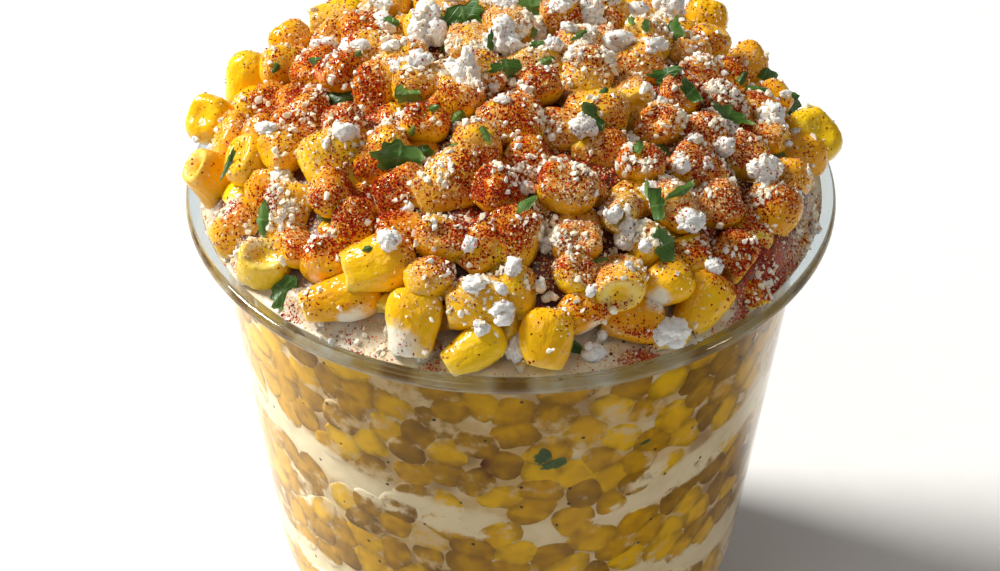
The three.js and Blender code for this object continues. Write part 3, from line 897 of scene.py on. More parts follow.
PRESSED_SEGMENTS = 18
PRESS_INSET = 0.45  # how far inside the wall's outer surface the kernels are pressed
CREAM_INSET = 0.58  # the cream reaches just into the wall, and the kernels stand proud of it
PRESSED_MIDDLES = (4.5, CUP_HEIGHT - 5.2)  # heights between which the kernels' middles lie
PRESSED_EDGES = (RECESS_HEIGHT + 1.2, CUP_HEIGHT - 2.6)  # heights between which their edges stay
PRESSED_TRIES = 9000
CLEAR_OF_BAND = 0.45  # a kernel lies where a band of cream has less than this share


def wall_place(azimuth, height, inset=0.0):
    """Points at azimuths and heights on the wall's outer surface, or inset from it."""
    radius = wall_radius(height, inset)
    return np.column_stack([radius * np.cos(azimuth), radius * np.sin(azimuth), height])


def band_share(azimuth, height):
    """1 in the middle of a band of cream on the wall, and 0 well away from one."""
    depth = CUP_HEIGHT - np.asarray(height)
    front = np.degrees(np.asarray(azimuth)) + 90
    front = (front + 180) % 360 - 180
    points = wall_place(azimuth, height)
    uneven = wave(points, seed=5, size=11)
    half = settings().contents.band_height / MM / 2
    share = np.zeros(len(points))
    for band in CREAM_BANDS:
        angles, middles = zip(*band, (band[0][0] + 360, band[0][1]))
        middle = np.interp(front, angles, middles)
        away = np.abs(depth - middle - 1.2 * uneven) / half
        share = np.maximum(share, 1 - away)
    pockets = wave(points, seed=8, size=9) - 0.52
    return np.maximum(share, pockets * 2)


def pressed_places(rng):
    """Azimuth and height of the kernels at the wall: spread unevenly, wider apart along the wall than
    up it."""
    contents = settings().contents
    stretch = np.array([contents.patch_height / contents.patch_width] * 2 + [1.0])
    gap = contents.patch_height / MM * 0.56
    places, spots = [], []
    for _ in range(PRESSED_TRIES):
        azimuth, height = rng.uniform(-np.pi, np.pi), rng.uniform(*PRESSED_MIDDLES)
        spot = wall_place(azimuth, np.array([height]))[0] * stretch
        if spots and np.min(np.linalg.norm(np.array(spots) - spot, axis=1)) < gap:
            continue
        places.append((azimuth, height))
        spots.append(spot)
    return np.array(places)


def pressed_outline(rng, azimuth, height, places):
    """How far a kernel reaches along the wall at each angle round its middle, where its neighbours
    press against it, with the corners rounded off."""
    contents = settings().contents
    angles = round_angles(PRESSED_SEGMENTS)
    across = (places[:, 0] - azimuth + np.pi) % (2 * np.pi) - np.pi
    offset = np.column_stack([across * wall_radius(height, 0), places[:, 1] - height])
    apart = np.linalg.norm(offset, axis=1)
    beside = (apart > 0.01) & (apart < 14)
    toward = np.cos(angles[:, None] - np.arctan2(offset[beside, 1], offset[beside, 0]))
    pressed = np.where(toward > 0.1, apart[beside] / 2 / np.maximum(toward, 0.1), 99).min(1)
    half_width = contents.patch_width / MM / 2 * rng.uniform(0.6, 1.5)
    half_height = contents.patch_height / MM / 2 * rng.uniform(0.85, 1.5)
    power, turned_by = rng.uniform(2.0, 3.6), angles - rng.normal(0, 0.6)
    free = ((np.abs(np.cos(turned_by) / half_width) ** power
             + np.abs(np.sin(turned_by) / half_height) ** power) ** (-1 / power))
    for lobe in (2, 3, 4):
        free = free * (1 + rng.uniform(0, 0.16) * np.cos(lobe * angles + rng.uniform(0, 2 * np.pi)))
    reach = np.minimum(pressed * 1.1 + rng.uniform(0, 0.5), free)
    reach = (np.roll(reach, 1) + 2 * reach + np.roll(reach, -1)) / 4
    return angles, np.maximum(reach, 1.2)


def pressed_kernel(rng, azimuth, height, places):
    """A kernel pressed to the wall: flat where it touches, rounded away at its edge, whole behind."""
    angles, reach = pressed_outline(rng, azimuth, height, places)
    # Share of the way out to the edge, and depth behind the flat face.
    rings = ((0.45, 0), (0.75, 0.02), (0.88, 0.06), (0.95, 0.13), (1.0, 0.3), (1.0, 0.9), (0.7, 2.4))
    lift = rng.uniform(-0.12, 0.08)
    flat = np.concatenate([np.column_stack([share * reach * np.cos(angles), share * reach * np.sin(angles),
                                            np.full(len(angles), depth)]) for share, depth in rings])
    flat = np.concatenate([[[0, 0, 0]], flat, [[0, 0, 2.8]]])
    share = np.array([0, *np.repeat([share for share, _ in rings], len(angles)), 0.4])
    points = on_wall(flat, azimuth, height, PRESS_INSET + lift)
    return points, rounds(len(rings), len(angles)), share


def on_wall(flat, azimuth, height, inset):
    """Points of a flat thing that lies on the wall's inside: across, up and depth to the inside."""
    heights = np.clip(height + flat[:, 1], *PRESSED_EDGES)
    turns = azimuth + flat[:, 0] / wall_radius(height, 0)
    return wall_place(turns, heights, inset + flat[:, 2])


class ESQUITES_OT_pressed_corn(bpy.types.Operator):
    """Presses kernels to the inside of the wall, in three layers"""

    bl_idname = "esquites.pressed_corn"
    bl_label = "Corn behind the wall"

    def execute(self, context):
        rng = np.random.default_rng(PRESSED_SEED)
        material = pressed_kernel_skin()
        stains = [(wall_spot(x, y, PRESS_INSET), r, 1) for x, y, r in WALL_STAINS]
        places = pressed_places(rng)
        kept = places[band_share(places[:, 0], places[:, 1]) < CLEAR_OF_BAND]
        tops = [sum(corner.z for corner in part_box(f"cream_layer_{name}")) / 2 / MM
                for name in ("lower", "upper")]
        layers = (("bottom", 0, tops[0]), ("middle", tops[0], tops[1]), ("upper", tops[1], CUP_HEIGHT))
        for name, low, high in layers:
            pile = Pile("tone", "film", "edge", "veil", "stain")
            for azimuth, height in kept[(kept[:, 1] >= low) & (kept[:, 1] < high)]:
                points, faces, share = pressed_kernel(rng, azimuth, height, places)
                turn = np.arctan2(points[:, 1], points[:, 0])
                band = band_share(turn, points[:, 2])
                dull = rng.uniform(-0.7, -0.2) if rng.random() < 0.9 else rng.uniform(-0.2, 0.2)
                film = smoothstep(0.8, 1.0, share) * rng.uniform(0.0, 0.6) + dull
                film += 1.1 * smoothstep(-0.2, 0.35, band) + 0.65 * wave(points, seed=6, size=10)
                # The edge share carries the painted shade where a kernel turns away from the wall.
                pile.add(points, faces, tone=rng.uniform(-0.45, 0.35), film=film,
                         edge=smoothstep(0.45, 0.9, share), veil=smoothstep(-0.3, 0.3, band),
                         stain=patch_strength(points, stains))
            mesh = pile.mesh(f"corn_pressed_{name}")
            finished_piece(f"corn_pressed_{name}", mesh, material, "corn", f"corn_layer_{name}")
        return {"FINISHED"}


CREAM_SEGMENTS = 320
WALL_ROWS, TOP_ROWS = 126, 58
# Depths of the last rows at the wall under the cream's top, and how far inside its edge the next rows are.
CLOSE_UNDER, CLOSE_INSIDE = np.array([0.8, 0.5, 0.3, 0.15, 0]), np.array([0.25, 0.6, 1.1])
CORE_RADIUS = 41.5  # the core under the heap's kernels
CORE_HEIGHT = 19.5
CORE_SEED = 4
BRIM_TOP = CUP_HEIGHT - 0.3  # the cream wets the flare up to here


def core_height(points):
    """Height of the cream and the core of the heap over each place in the cup."""
    radius = np.hypot(points[:, 0], points[:, 1])
    edge = wall_radius(BRIM_TOP, CREAM_INSET)
    flat = np.column_stack([points[:, :2], np.zeros(len(points))])
    rise = 2.4 * smoothstep(edge - 0.2, edge - 9, radius) * (1 + 0.5 * wave(flat, CORE_SEED, size=9))
    ripple = 1 + wave(flat, CORE_SEED + 1, size=4)
    brim = BRIM_TOP + rise + 0.2 * ripple * smoothstep(edge, edge - 1, radius)
    for across, down, reach, height in CREAM_MOUNDS:
        apart = np.linalg.norm(points[:, :2] - dome_point(across, down, 3)[:2], axis=1)
        brim = brim + height * np.exp(-(apart / reach) ** 2) * smoothstep(edge, edge - 3, radius)
    dome = CORE_HEIGHT * np.sqrt(np.clip(1 - (radius / CORE_RADIUS) ** 2, 0, 1))
    return np.maximum(brim, HEAP_BASE + (dome + 1.1 * wave(flat, CORE_SEED + 2, size=7)))


class ESQUITES_OT_cream(bpy.types.Operator):
    """Fills the cup with cream, up to the brim and under the heap"""

    bl_idname = "esquites.cream"
    bl_label = "Cream"

    def execute(self, context):
        segments = CREAM_SEGMENTS
        angles = round_angles(segments)
        ring = np.column_stack([np.cos(angles), np.sin(angles)])
        floor = RECESS_HEIGHT + settings().cup.wall / MM - 0.2
        rows, juice = [], []
        for radius in (10, 20):
            rows.append(np.column_stack([ring * radius, np.full(segments, floor)]))
            juice.append(np.full(segments, 0.5))
        heights = np.concatenate([[floor], np.linspace(floor + 0.8, BRIM_TOP - 1.2, WALL_ROWS),
                                  BRIM_TOP - CLOSE_UNDER])
        for height in heights:
            level = np.full(segments, height)
            share = band_share(angles, level)
            rows.append(wall_place(angles, level, CREAM_INSET))
            juice.append(1 - smoothstep(-0.2, 0.3, share) * smoothstep(BRIM_TOP - 1, BRIM_TOP - 4, height))
        edge = float(wall_radius(BRIM_TOP, CREAM_INSET))
        for radius in np.concatenate([edge - CLOSE_INSIDE, np.linspace(edge - 1.9, 1.2, TOP_ROWS)]):
            row = np.column_stack([ring * radius, np.zeros(segments)])
            row[:, 2] = core_height(row)
            rows.append(row)
            juice.append(np.full(segments, 0.25))
        peak = core_height(np.zeros((1, 3)))[0]
        points = np.concatenate([[[0, 0, floor]], *rows, [[0, 0, peak]]])
        pile = Pile("juice", "stain", "chili", "crumb", "open")
        # Cream under the heap darkens with height: painted shade in the gaps between kernels, mixed with
        # chili.
        stain = smoothstep(HEAP_BASE + 1.5, HEAP_BASE + 6, points[:, 2])
        pile.add(points, rounds(len(rows), segments),
                 juice=np.concatenate([[0.5], *juice, [0.5]]), stain=stain,
                 open=smoothstep(BRIM_TOP - 1, BRIM_TOP, points[:, 2]))
        mesh = pile.mesh("cream")
        finished_piece("cream", mesh, thick_cream(), "cream", "cream_layer_lower", "cream_layer_upper",
                       "cream_layer_brim")
        return {"FINISHED"}


# ---------------------------------------------------------------- heap


KERNEL_SEGMENTS = 18
# A kernel from its cut end to its crown: place along the axis, as a share of its length from the
# middle, and radius, as a share of half its width.
KERNEL_RINGS = ((-0.40, 0.20), (-0.45, 0.42), (-0.50, 0.58), (-0.475, 0.70), (-0.35, 0.81), (-0.17, 0.91),
                (0.03, 0.98), (0.19, 1.0), (0.31, 0.94), (0.39, 0.83), (0.45, 0.66), (0.485, 0.43),
                (0.495, 0.2))
CUT_CENTRE, CROWN_CENTRE = -0.36, 0.5


def kernel_shape(rng, length, width, thickness, dished):
    """Points of one kernel round the origin, with its crown up: a squarish tooth, with folds along it
    and a crown that is plump or sunk in."""
    angles = round_angles(KERNEL_SEGMENTS)
    square = rng.uniform(0.7, 0.95)
    x = np.sign(np.cos(angles)) * np.abs(np.cos(angles)) ** square
    y = np.sign(np.sin(angles)) * np.abs(np.sin(angles)) ** square
    dimple = rng.uniform(0.07, 0.15) if dished else rng.uniform(0.0, 0.04)
    taper = rng.uniform(0.85, 1.1)
    fold_turns, fold_depth = rng.uniform(0, 2 * np.pi, 2), rng.uniform(0.02, 0.14, 2)
    rows = []
    for along, radius in KERNEL_RINGS:
        if along < -0.1:
            radius *= taper
        sink = dimple * max(0, 1 - radius / 0.62) ** 0.7 if along > 0.4 else 0
        fold = sum(depth * np.maximum(np.cos(angles - turn), 0) ** 10
                   for turn, depth in zip(fold_turns, fold_depth))
        reach = radius * (1 - fold * float(smoothstep(-0.5, -0.2, along)))
        rows.append(np.column_stack([x * reach, y * reach, np.full(KERNEL_SEGMENTS, 2 * (along - sink))]))
    shape = np.concatenate([[[0, 0, 2 * CUT_CENTRE]], *rows, [[0, 0, 2 * (CROWN_CENTRE - dimple)]]])
    lump = rng.uniform(0.09, 0.14) if rng.random() < 0.4 else rng.uniform(0.04, 0.08)
    lumps = wave(shape + rng.uniform(-9, 9, 3), int(rng.integers(1e6)), size=0.9)
    shape = shape * (1 + lump * lumps)[:, None]
    shape[:, 0] += rng.uniform(-0.12, 0.12) * shape[:, 2] ** 2
    return shape * (width / 2, thickness / 2, length / 2)


def cut_end_share():
    """1 on the cut end of a kernel and 0 on its skin, for each of its points."""
    rings = [ring for ring in KERNEL_RINGS for _ in range(KERNEL_SEGMENTS)]
    return np.array([0.0 if along > -0.44 else 0.9 if radius < 0.5 else 0.6 if radius < 0.6 else 0.25
                     for along, radius in ((CUT_CENTRE, 0), *rings, (CROWN_CENTRE, 0))])


def turned_to(toward, turn_degrees):
    """Axes across, through and along a kernel that shows a side to the camera."""
    upright, near = in_picture(turn_degrees), picture_axes()[2]
    if toward == "side":
        along, through = upright, near
    else:
        along = unit(near + (1.2 if toward == "ring" else 0.45) * upright)
        along = along if toward == "crown" else -along
        through = unit(np.cross(np.cross(along, upright), along))
    across = unit(np.cross(through, along))
    through = np.cross(along, across)
    return np.column_stack([across, through, along])


def random_axes(rng, normal):
    """Axes of an unseen kernel: most lie on their side, some stand on their cut end."""
    tangent = unit(np.cross(normal, rng.normal(size=3)))
    lean = rng.choice([0.0, 0.25, 0.8, 1.3, -0.9], p=[0.3, 0.25, 0.2, 0.15, 0.1]) + rng.normal(0, 0.15)
    along = unit(math.cos(lean) * tangent + math.sin(lean) * normal)
    across = unit(np.cross(along, normal + 0.3 * rng.normal(size=3)))
    return np.column_stack([across, np.cross(along, across), along])


def over_rim(place, radius):
    """Moves a kernel's middle so that the kernel lies inside the rim or on top of it."""
    out = math.hypot(place[0], place[1])
    inner_edge = RIM_RADIUS - 2 * settings().cup.bead_radius / MM
    if out > inner_edge - radius and place[2] < CUP_HEIGHT + radius:
        lift = CUP_HEIGHT + radius - place[2]
        pull = out - (inner_edge - radius)
        if lift < pull:
            place = place + (0, 0, lift)
        else:
            place = place * ((out - pull) / out, (out - pull) / out, 1)
    return place


def inside_cup(points):
    """Presses points in, where they would be in or behind the cup's wall."""
    out = np.hypot(points[:, 0], points[:, 1])
    wall = settings().cup.wall / MM
    limit = wall_radius(np.minimum(points[:, 2], CUP_HEIGHT - 0.4), wall) - 0.15
    scale = np.where((points[:, 2] < CUP_HEIGHT + 0.1) & (out > limit), limit / np.maximum(out, 1), 1)
    return points * np.column_stack([scale, scale, np.ones(len(points))])


# Layers of kernels that are laid by chance, from the outside in: their spacing as a share of the setting,
# their depth under the outline, how many places are tried, and the kernels' size as a share of the setting.
SHELLS = ((1, 4.2, 6000, 1.0), (0.86, 5.4, 3000, 0.92), (0.8, 8.2, 5000, 0.95))
CHANCE_RADIUS = 3.9  # half the width of such a kernel
BARE_MARGIN = 2.5  # how far such a kernel's middle stays outside a bare spot


def fill_places(rng, taken, spacing, depth, tries, clear_of):
    """Places on the heap, under its outline by a depth, that keep a spacing from those taken."""
    places = []
    axes = np.array([OUTLINE_RADIUS - depth, OUTLINE_RADIUS - depth, OUTLINE_HEIGHT - depth])
    for _ in range(tries):
        place = upward(rng) * axes + (0, 0, HEAP_BASE) + rng.normal(0, 0.35, 3)
        place = over_rim(place, CHANCE_RADIUS)
        if any(np.linalg.norm(place - spot) < radius for spot, radius in clear_of):
            continue
        if taken and np.min(np.linalg.norm(np.array(taken) - place, axis=1)) < spacing:
            continue
        taken.append(place)
        places.append(place)
    return places


class ESQUITES_OT_heap(bpy.types.Operator):
    """Heaps single kernels over the rim"""

    bl_idname = "esquites.heap"
    bl_label = "Heap of kernels"

    def execute(self, context):
        heap = settings().heap
        rng = np.random.default_rng(heap.seed)
        pile = Pile("tone", "cut_end", "stain", "film", "chili", "crumb", "skin")
        coats = [(dome_point(x, y, 2), r, 1) for x, y, r in CREAM_COATS]
        taken = []
        for across, down, length, width, toward, turn, depth in SHOWN_KERNELS:
            place = over_rim(dome_point(across, down, depth), width * 0.42)
            taken.append(place)
            dished = toward == "crown" and rng.random() < 0.7
            self.lay(pile, rng, coats, place, turned_to(toward, turn), length, width, dished)
        bare = [(dome_point(x, y, 4), r + BARE_MARGIN) for x, y, r in BARE_CREAM]
        length, spacing = heap.kernel_length / MM, heap.spacing / MM
        for gap, depth, tries, scale in SHELLS:
            for place in fill_places(rng, taken, spacing * gap, depth, tries, bare):
                size = scale * rng.uniform(0.86, 1.12)
                axes = random_axes(rng, dome_normal(place))
                dished = rng.random() < 0.25
                self.lay(pile, rng, coats, place, axes, length * size, length * size * 0.88, dished)
        mesh = pile.mesh("corn_kernels")
        finished_piece("corn_kernels", mesh, kernel_skin(), "corn", "corn_heap")
        return {"FINISHED"}

    def lay(self, pile, rng, coats, place, axes, length, width, dished):
        """Adds one kernel to the pile."""
        shape = kernel_shape(rng, length, width, width * rng.uniform(0.76, 0.92), dished)
        points = inside_cup(shape @ axes.T + place)
        depth = np.hypot(np.hypot(points[:, 0], points[:, 1]) / OUTLINE_RADIUS,
                         (points[:, 2] - HEAP_BASE) / OUTLINE_HEIGHT)
        film = smoothstep(CUP_HEIGHT + 2.5, CUP_HEIGHT - 1.5, points[:, 2]) + patch_strength(points, coats)
        faces = rounds(len(KERNEL_RINGS), KERNEL_SEGMENTS)
        # Kernels deep in the heap, and more so towards the right, darken to red-brown: painted shade, mixed
        # with chili in the gaps.
        pile.add(points, faces, tone=rng.uniform(-0.2, 0.85), cut_end=cut_end_share(),
                 stain=smoothstep(0.97, 0.72, depth) * (0.3 + 0.7 * smoothstep(-32, 8, place[0])),
                 film=np.minimum(film, 1.2), skin=(shape + rng.uniform(0, 500, 3)) * MM)


# ---------------------------------------------------------------- toppings


def mesh_points(mesh):
    """Where a mesh's points are, in millimetres, and their normals."""
    place = np.zeros(len(mesh.vertices) * 3)
    normal = np.zeros(len(mesh.vertices) * 3)
    mesh.vertices.foreach_get("co", place)
    mesh.vertex_normals.foreach_get("vector", normal)
    return place.reshape(-1, 3) / MM, normal.reshape(-1, 3)


def surface_tree(*names):
    """One tree of the meshes of some pieces, for finding what lies under a place."""
    points, polygons, start = [], [], 0
    for name in names:
        mesh = bpy.data.objects[name].data
        points.append(mesh_points(mesh)[0])
        polygons += [[start + i for i in face.vertices] for face in mesh.polygons]
        start += len(mesh.vertices)
    return BVHTree.FromPolygons(np.concatenate(points).tolist(), polygons)


def under_pixel(tree, across, down):
    """Where the line of sight through a pixel meets the heap, and the surface's normal there. A line
    that misses the heap gives the nearest place on it."""
    direction = pixel_ray(across, down)
    hit, normal, _, _ = tree.ray_cast(CAMERA_PLACE, Vector(direction))
    if hit is None or hit.z < BRIM_LEVEL - 4:
        hit, normal, _, _ = tree.find_nearest(Vector(dome_point(across, down, 1.5)))
        return np.array(hit), dome_normal(hit)
    normal = np.array(normal)
    return np.array(hit), normal if normal @ direction < 0 else -normal


OUTSIDE = (70, 70, 60)  # half axes of a shell well outside the heap, from which spots are looked for


def random_spots(rng, tree, count, flattest):
    """Spots spread over the heap where the photograph doesn't show it, on what faces up by at least
    so much, found by looking in from outside."""
    spots = []
    while len(spots) < count:
        start = upward(rng) * OUTSIDE + (0, 0, HEAP_BASE)
        aim = np.array([0, 0, HEAP_BASE]) + rng.normal(0, 6, 3) * (1, 1, 0)
        hit, normal, _, _ = tree.ray_cast(Vector(start), Vector(unit(aim - start)))
        if hit is None or hit.z < CUP_HEIGHT:
            continue
        above = Vector(np.array(hit) + 2.5 * dome_normal(hit))
        if tree.ray_cast(above, CAMERA_PLACE - above)[0] is None:
            continue
        normal = np.array(normal)
        normal = normal if normal @ (aim - start) < 0 else -normal
        if normal[2] > flattest:
            spots.append((np.array(hit), normal))
    return spots


@lru_cache
def ball(level):
    """Points and faces of a ball of triangles."""
    mesh = bmesh.new()
    bmesh.ops.create_icosphere(mesh, subdivisions=level, radius=1)
    points = np.array([v.co for v in mesh.verts])
    faces = [[v.index for v in face.verts] for face in mesh.faces]
    mesh.free()
    return points, faces


def crumb(rng, half, level):
    """A lump of cheese of a half size in each direction: blunt chunks with flat breaks that run
    together, and a few grains at its sides."""
    chunks = [(rng.normal(0, 0.1, 3), 0.8, level)]
    for _ in range(3):
        chunks.append((unit(rng.normal(size=3)) * rng.uniform(0.4, 0.7), rng.uniform(0.35, 0.6), level - 1))
    for _ in range(int(2 + 1.5 * np.mean(half))):
        place = unit(rng.normal(size=3) * (1, 1, 0.6)) * rng.uniform(0.75, 1.0)
        chunks.append((place, rng.uniform(0.08, 0.2), 1))
    parts, faces = [], []
    for place, size, fineness in chunks:
        points, triangles = ball(fineness)
        breaks = rng.uniform(0.6, 0.95, 9) / np.maximum(points @ unit(rng.normal(size=(9, 3))).T, 0.01)
        reach = np.minimum(breaks.min(1), 1.05) * (1 + 0.07 * rng.normal(size=len(points)))
        chunk = (place + points * (size * reach)[:, None]) * half
        mealy = wave(chunk, int(rng.integers(1e6)), size=0.7)[:, None]
        start = sum(map(len, parts))
        parts.append(chunk + points * mealy * min(0.3, 0.16 * size * float(np.min(half))))
        faces += [[start + i for i in face] for face in triangles]
    return np.concatenate(parts), faces


def axes_from(normal, turn_degrees):
    """Axes of a thing that lies on a surface, turned in the picture."""
    upright = in_picture(turn_degrees)
    along = unit(upright - (upright @ normal) * normal)
    return np.column_stack([np.cross(along, normal), along, normal])


# Sizes of the lumps that are laid by chance, and how likely each is.
LUMP_SIZES, LUMP_ODDS = (1.6, 2.2, 3.0, 4.2, 5.6), (0.25, 0.3, 0.25, 0.13, 0.07)


class ESQUITES_OT_cheese(bpy.types.Operator):
    """Lays lumps of crumbled cheese on the kernels"""

    bl_idname = "esquites.cheese"
    bl_label = "Cheese lumps"

    def execute(self, context):
        rng = np.random.default_rng(CHEESE_SEED)
        tree = surface_tree("corn_kernels", "cream")
        pile = Pile("stain", "chili")
        near = picture_axes()[2]
        for across, down, width, height in SHOWN_CHEESE:
            spot, normal = under_pixel(tree, across, down)
            lean = unit(0.5 * normal + 0.5 * near)
            half = np.array([width, height, 0.8 * min(width, height)]) / 2
            points, faces = crumb(rng, half, 4 if max(width, height) > 2.4 else 3)
            points = points @ axes_from(lean, rng.uniform(-12, 12)).T
            pile.add(points + spot + lean * half[2] * 0.55, faces, stain=rng.uniform(0, 0.05))
        for spot, normal in random_spots(rng, tree, count=90, flattest=0.45):
            size = rng.choice(LUMP_SIZES, p=LUMP_ODDS)
            half = size / 2 * rng.uniform(0.75, 1.2, 3)
            points, faces = crumb(rng, half, 3)
            pile.add(points + spot + normal * size * 0.25, faces, stain=rng.uniform(0, 0.15))
        finished_piece("cheese_lumps", pile.mesh("cheese_lumps"), crumbled_cheese(), "cheese")
        return {"FINISHED"}


def leaf_shape(rng, length, width):
    """A chopped piece of leaf: straight where the knife went, toothed where it didn't, folded and
    curled. Gives its points, faces and the place of each point on the blade."""
    spokes, shares = 24, (0.3, 0.6, 0.85, 1.0)
    angles = round_angles(spokes)
    knife = (np.arange(5) + rng.uniform(0, 0.75, 5)) * 2 * np.pi / 5
    straight = rng.uniform(0.62, 1.0, 5) / np.maximum(np.cos(angles[:, None] - knife), 0.3)
    grown = np.cos(angles - rng.uniform(0, 2 * np.pi)) > rng.uniform(-0.4, 0.4)
    teeth = 1 + np.where(grown, 0.17 * np.array([1, 0.3, -0.9] * (spokes // 3)), 0.0)
    outline = np.minimum(straight.min(1), 1.15) * teeth
    edge = np.column_stack([np.cos(angles), np.sin(angles)]) * outline[:, None]
    flat = np.concatenate([[[0, 0]], *(edge * share for share in shares)])
    x, y = flat[:, 0] * width / 2, flat[:, 1] * length / 2
    fold, curl, twist = rng.uniform(0.15, 0.75), rng.uniform(-0.8, 0.8), rng.uniform(-0.9, 0.9)
    z = -fold * np.abs(x) + curl * y ** 2 / length + twist * x * y / length
    z += 0.09 * width * wave(np.column_stack([x, y, z]) + rng.uniform(0, 99), seed=3, size=1.6)
    points = np.column_stack([x, y, z])
    count = len(points)
    upper = rounds(len(shares), spokes, closed=False)
    under = [tuple(count + i for i in reversed(face)) for face in upper]
    rim = range(count - spokes, count)
    border = [(count + a, count + b, b, a) for a, b in zip(rim, [*rim[1:], rim[0]])]
    blade = flat / 2 + 0.5
    return np.concatenate([points, points - (0, 0, 0.2)]), upper + under + border, [*blade, *blade]


class ESQUITES_OT_leaves(bpy.types.Operator):
    """Lays chopped pieces of leaf on the heap"""

    bl_idname = "esquites.leaves"
    bl_label = "Leaf pieces"

    def execute(self, context):
        rng = np.random.default_rng(LEAF_SEED)
        tree = surface_tree("corn_kernels", "cream", "cheese_lumps")
        near = picture_axes()[2]
        pile, blades = Pile("shade"), []
        for across, down, length, width, turn, shade in SHOWN_LEAVES:
            spot, normal = under_pixel(tree, across, down)
            lean = unit(0.4 * normal + 0.6 * near)
            points, faces, blade = leaf_shape(rng, length * 1.1, width * 1.15)
            place = spot + lean * (0.35 + 0.08 * width)
            pile.add(points @ axes_from(lean, turn).T + place, faces, shade=shade)
            blades += blade
        for across, down, length, width, turn, shade in WALL_LEAVES:
            spot = wall_spot(across, down, PRESS_INSET)
            points, faces, blade = leaf_shape(rng, length, width)
            turned_by = math.radians(turn)
            x, y = points[:, 0], points[:, 1]
            flat = np.column_stack([x * math.cos(turned_by) + y * math.sin(turned_by),
                                    y * math.cos(turned_by) - x * math.sin(turned_by),
                                    0.05 * (points[:, 2].max() - points[:, 2])])
            azimuth = math.atan2(spot[1], spot[0])
            pile.add(on_wall(flat, azimuth, spot[2], PRESS_INSET - 0.2), faces, shade=shade)
            blades += blade
        for spot, normal in random_spots(rng, tree, count=40, flattest=0.2):
            length = rng.uniform(2, 6.5)
            points, faces, blade = leaf_shape(rng, length, length * rng.uniform(0.3, 0.75))
            lean = unit(normal + (0, 0, 0.4))
            points = points @ axes_from(lean, rng.uniform(0, 360)).T + (spot + lean * 0.6)
            pile.add(points, faces, shade=rng.uniform(0, 0.8))
            blades += blade
        mesh = pile.mesh("leaf_pieces")
        layer = mesh.uv_layers.new(name="UVMap")
        corners = np.zeros(len(mesh.loops), int)
        mesh.loops.foreach_get("vertex_index", corners)
        layer.data.foreach_set("uv", np.array(blades)[corners].ravel())
        finished_piece("leaf_pieces", mesh, coriander_leaf(), "herb")
        return {"FINISHED"}


# ---------------------------------------------------------------- powder


SKY_LOOKS = ((0, 0, 1), (0.5, 0, 1), (-0.5, 0, 1), (0, 0.5, 1), (0, -0.5, 1))
SKY_REACH = 25  # how far above a place the sky has to be open


def powder_cover(points, normals, tree):
    """Chili and fine cheese at each point: most on what looks up at the open sky, in patches."""
    sky = np.zeros(len(points))
    looks = unit(SKY_LOOKS)
    for i, (point, normal) in enumerate(zip(points, normals)):
        if normal[2] < -0.3:
            continue
        start = Vector(point + 0.15 * normal)
        for look in looks:
            if look @ normal > 0 and tree.ray_cast(start, Vector(look), SKY_REACH)[0] is None:
                sky[i] += 1 / len(looks)
    fall = sky * smoothstep(-0.45, 0.55, normals[:, 2])
    middle = smoothstep(48, 30, np.hypot(points[:, 0], points[:, 1]))
    red = [(dome_point(x, y, 2), r, s) for x, y, r, s in CHILI_PATCHES]
    clean = [(dome_point(x, y, 2), r, 1) for x, y, r in CLEAN_SPOTS]
    spare = np.clip(1 - patch_strength(points, clean), 0.05, 1)
    # Behind the dome the powder's patches are left to chance.
    patches = smoothstep(0.45, 0.8, 0.5 + 0.5 * wave(points, seed=71, size=9))
    hidden = 0.6 * smoothstep(-5, 12, points[:, 1]) * patches
    red_cover = 1.25 * patch_strength(points, red) + middle * (0.12 + hidden) + 0.05
    white = [(dome_point(x, y, 2), r, s) for x, y, r, s in MEAL_PATCHES]
    white_cover = middle * (0.24 + 1.1 * smoothstep(0.0, 0.7, wave(points, seed=72, size=7))) + 0.03
    white_cover += patch_strength(points, white)
    return fall * red_cover * spare, fall * white_cover * (0.1 + 0.9 * spare)


# Grains lie this much thicker in a cluster, and this thick between clusters.
IN_CLUSTER, BETWEEN_CLUSTERS = 2.0, 0.03
SMALLNESS = 2.2  # the higher, the more of the grains are small
# Shares of its size that a grain has across, along and through, at least and at most.
LEAST_FORM, MOST_FORM = (0.5, 0.6, 0.35), (1.35, 1.1, 1.0)
FULL_TURN = 6.28  # radians


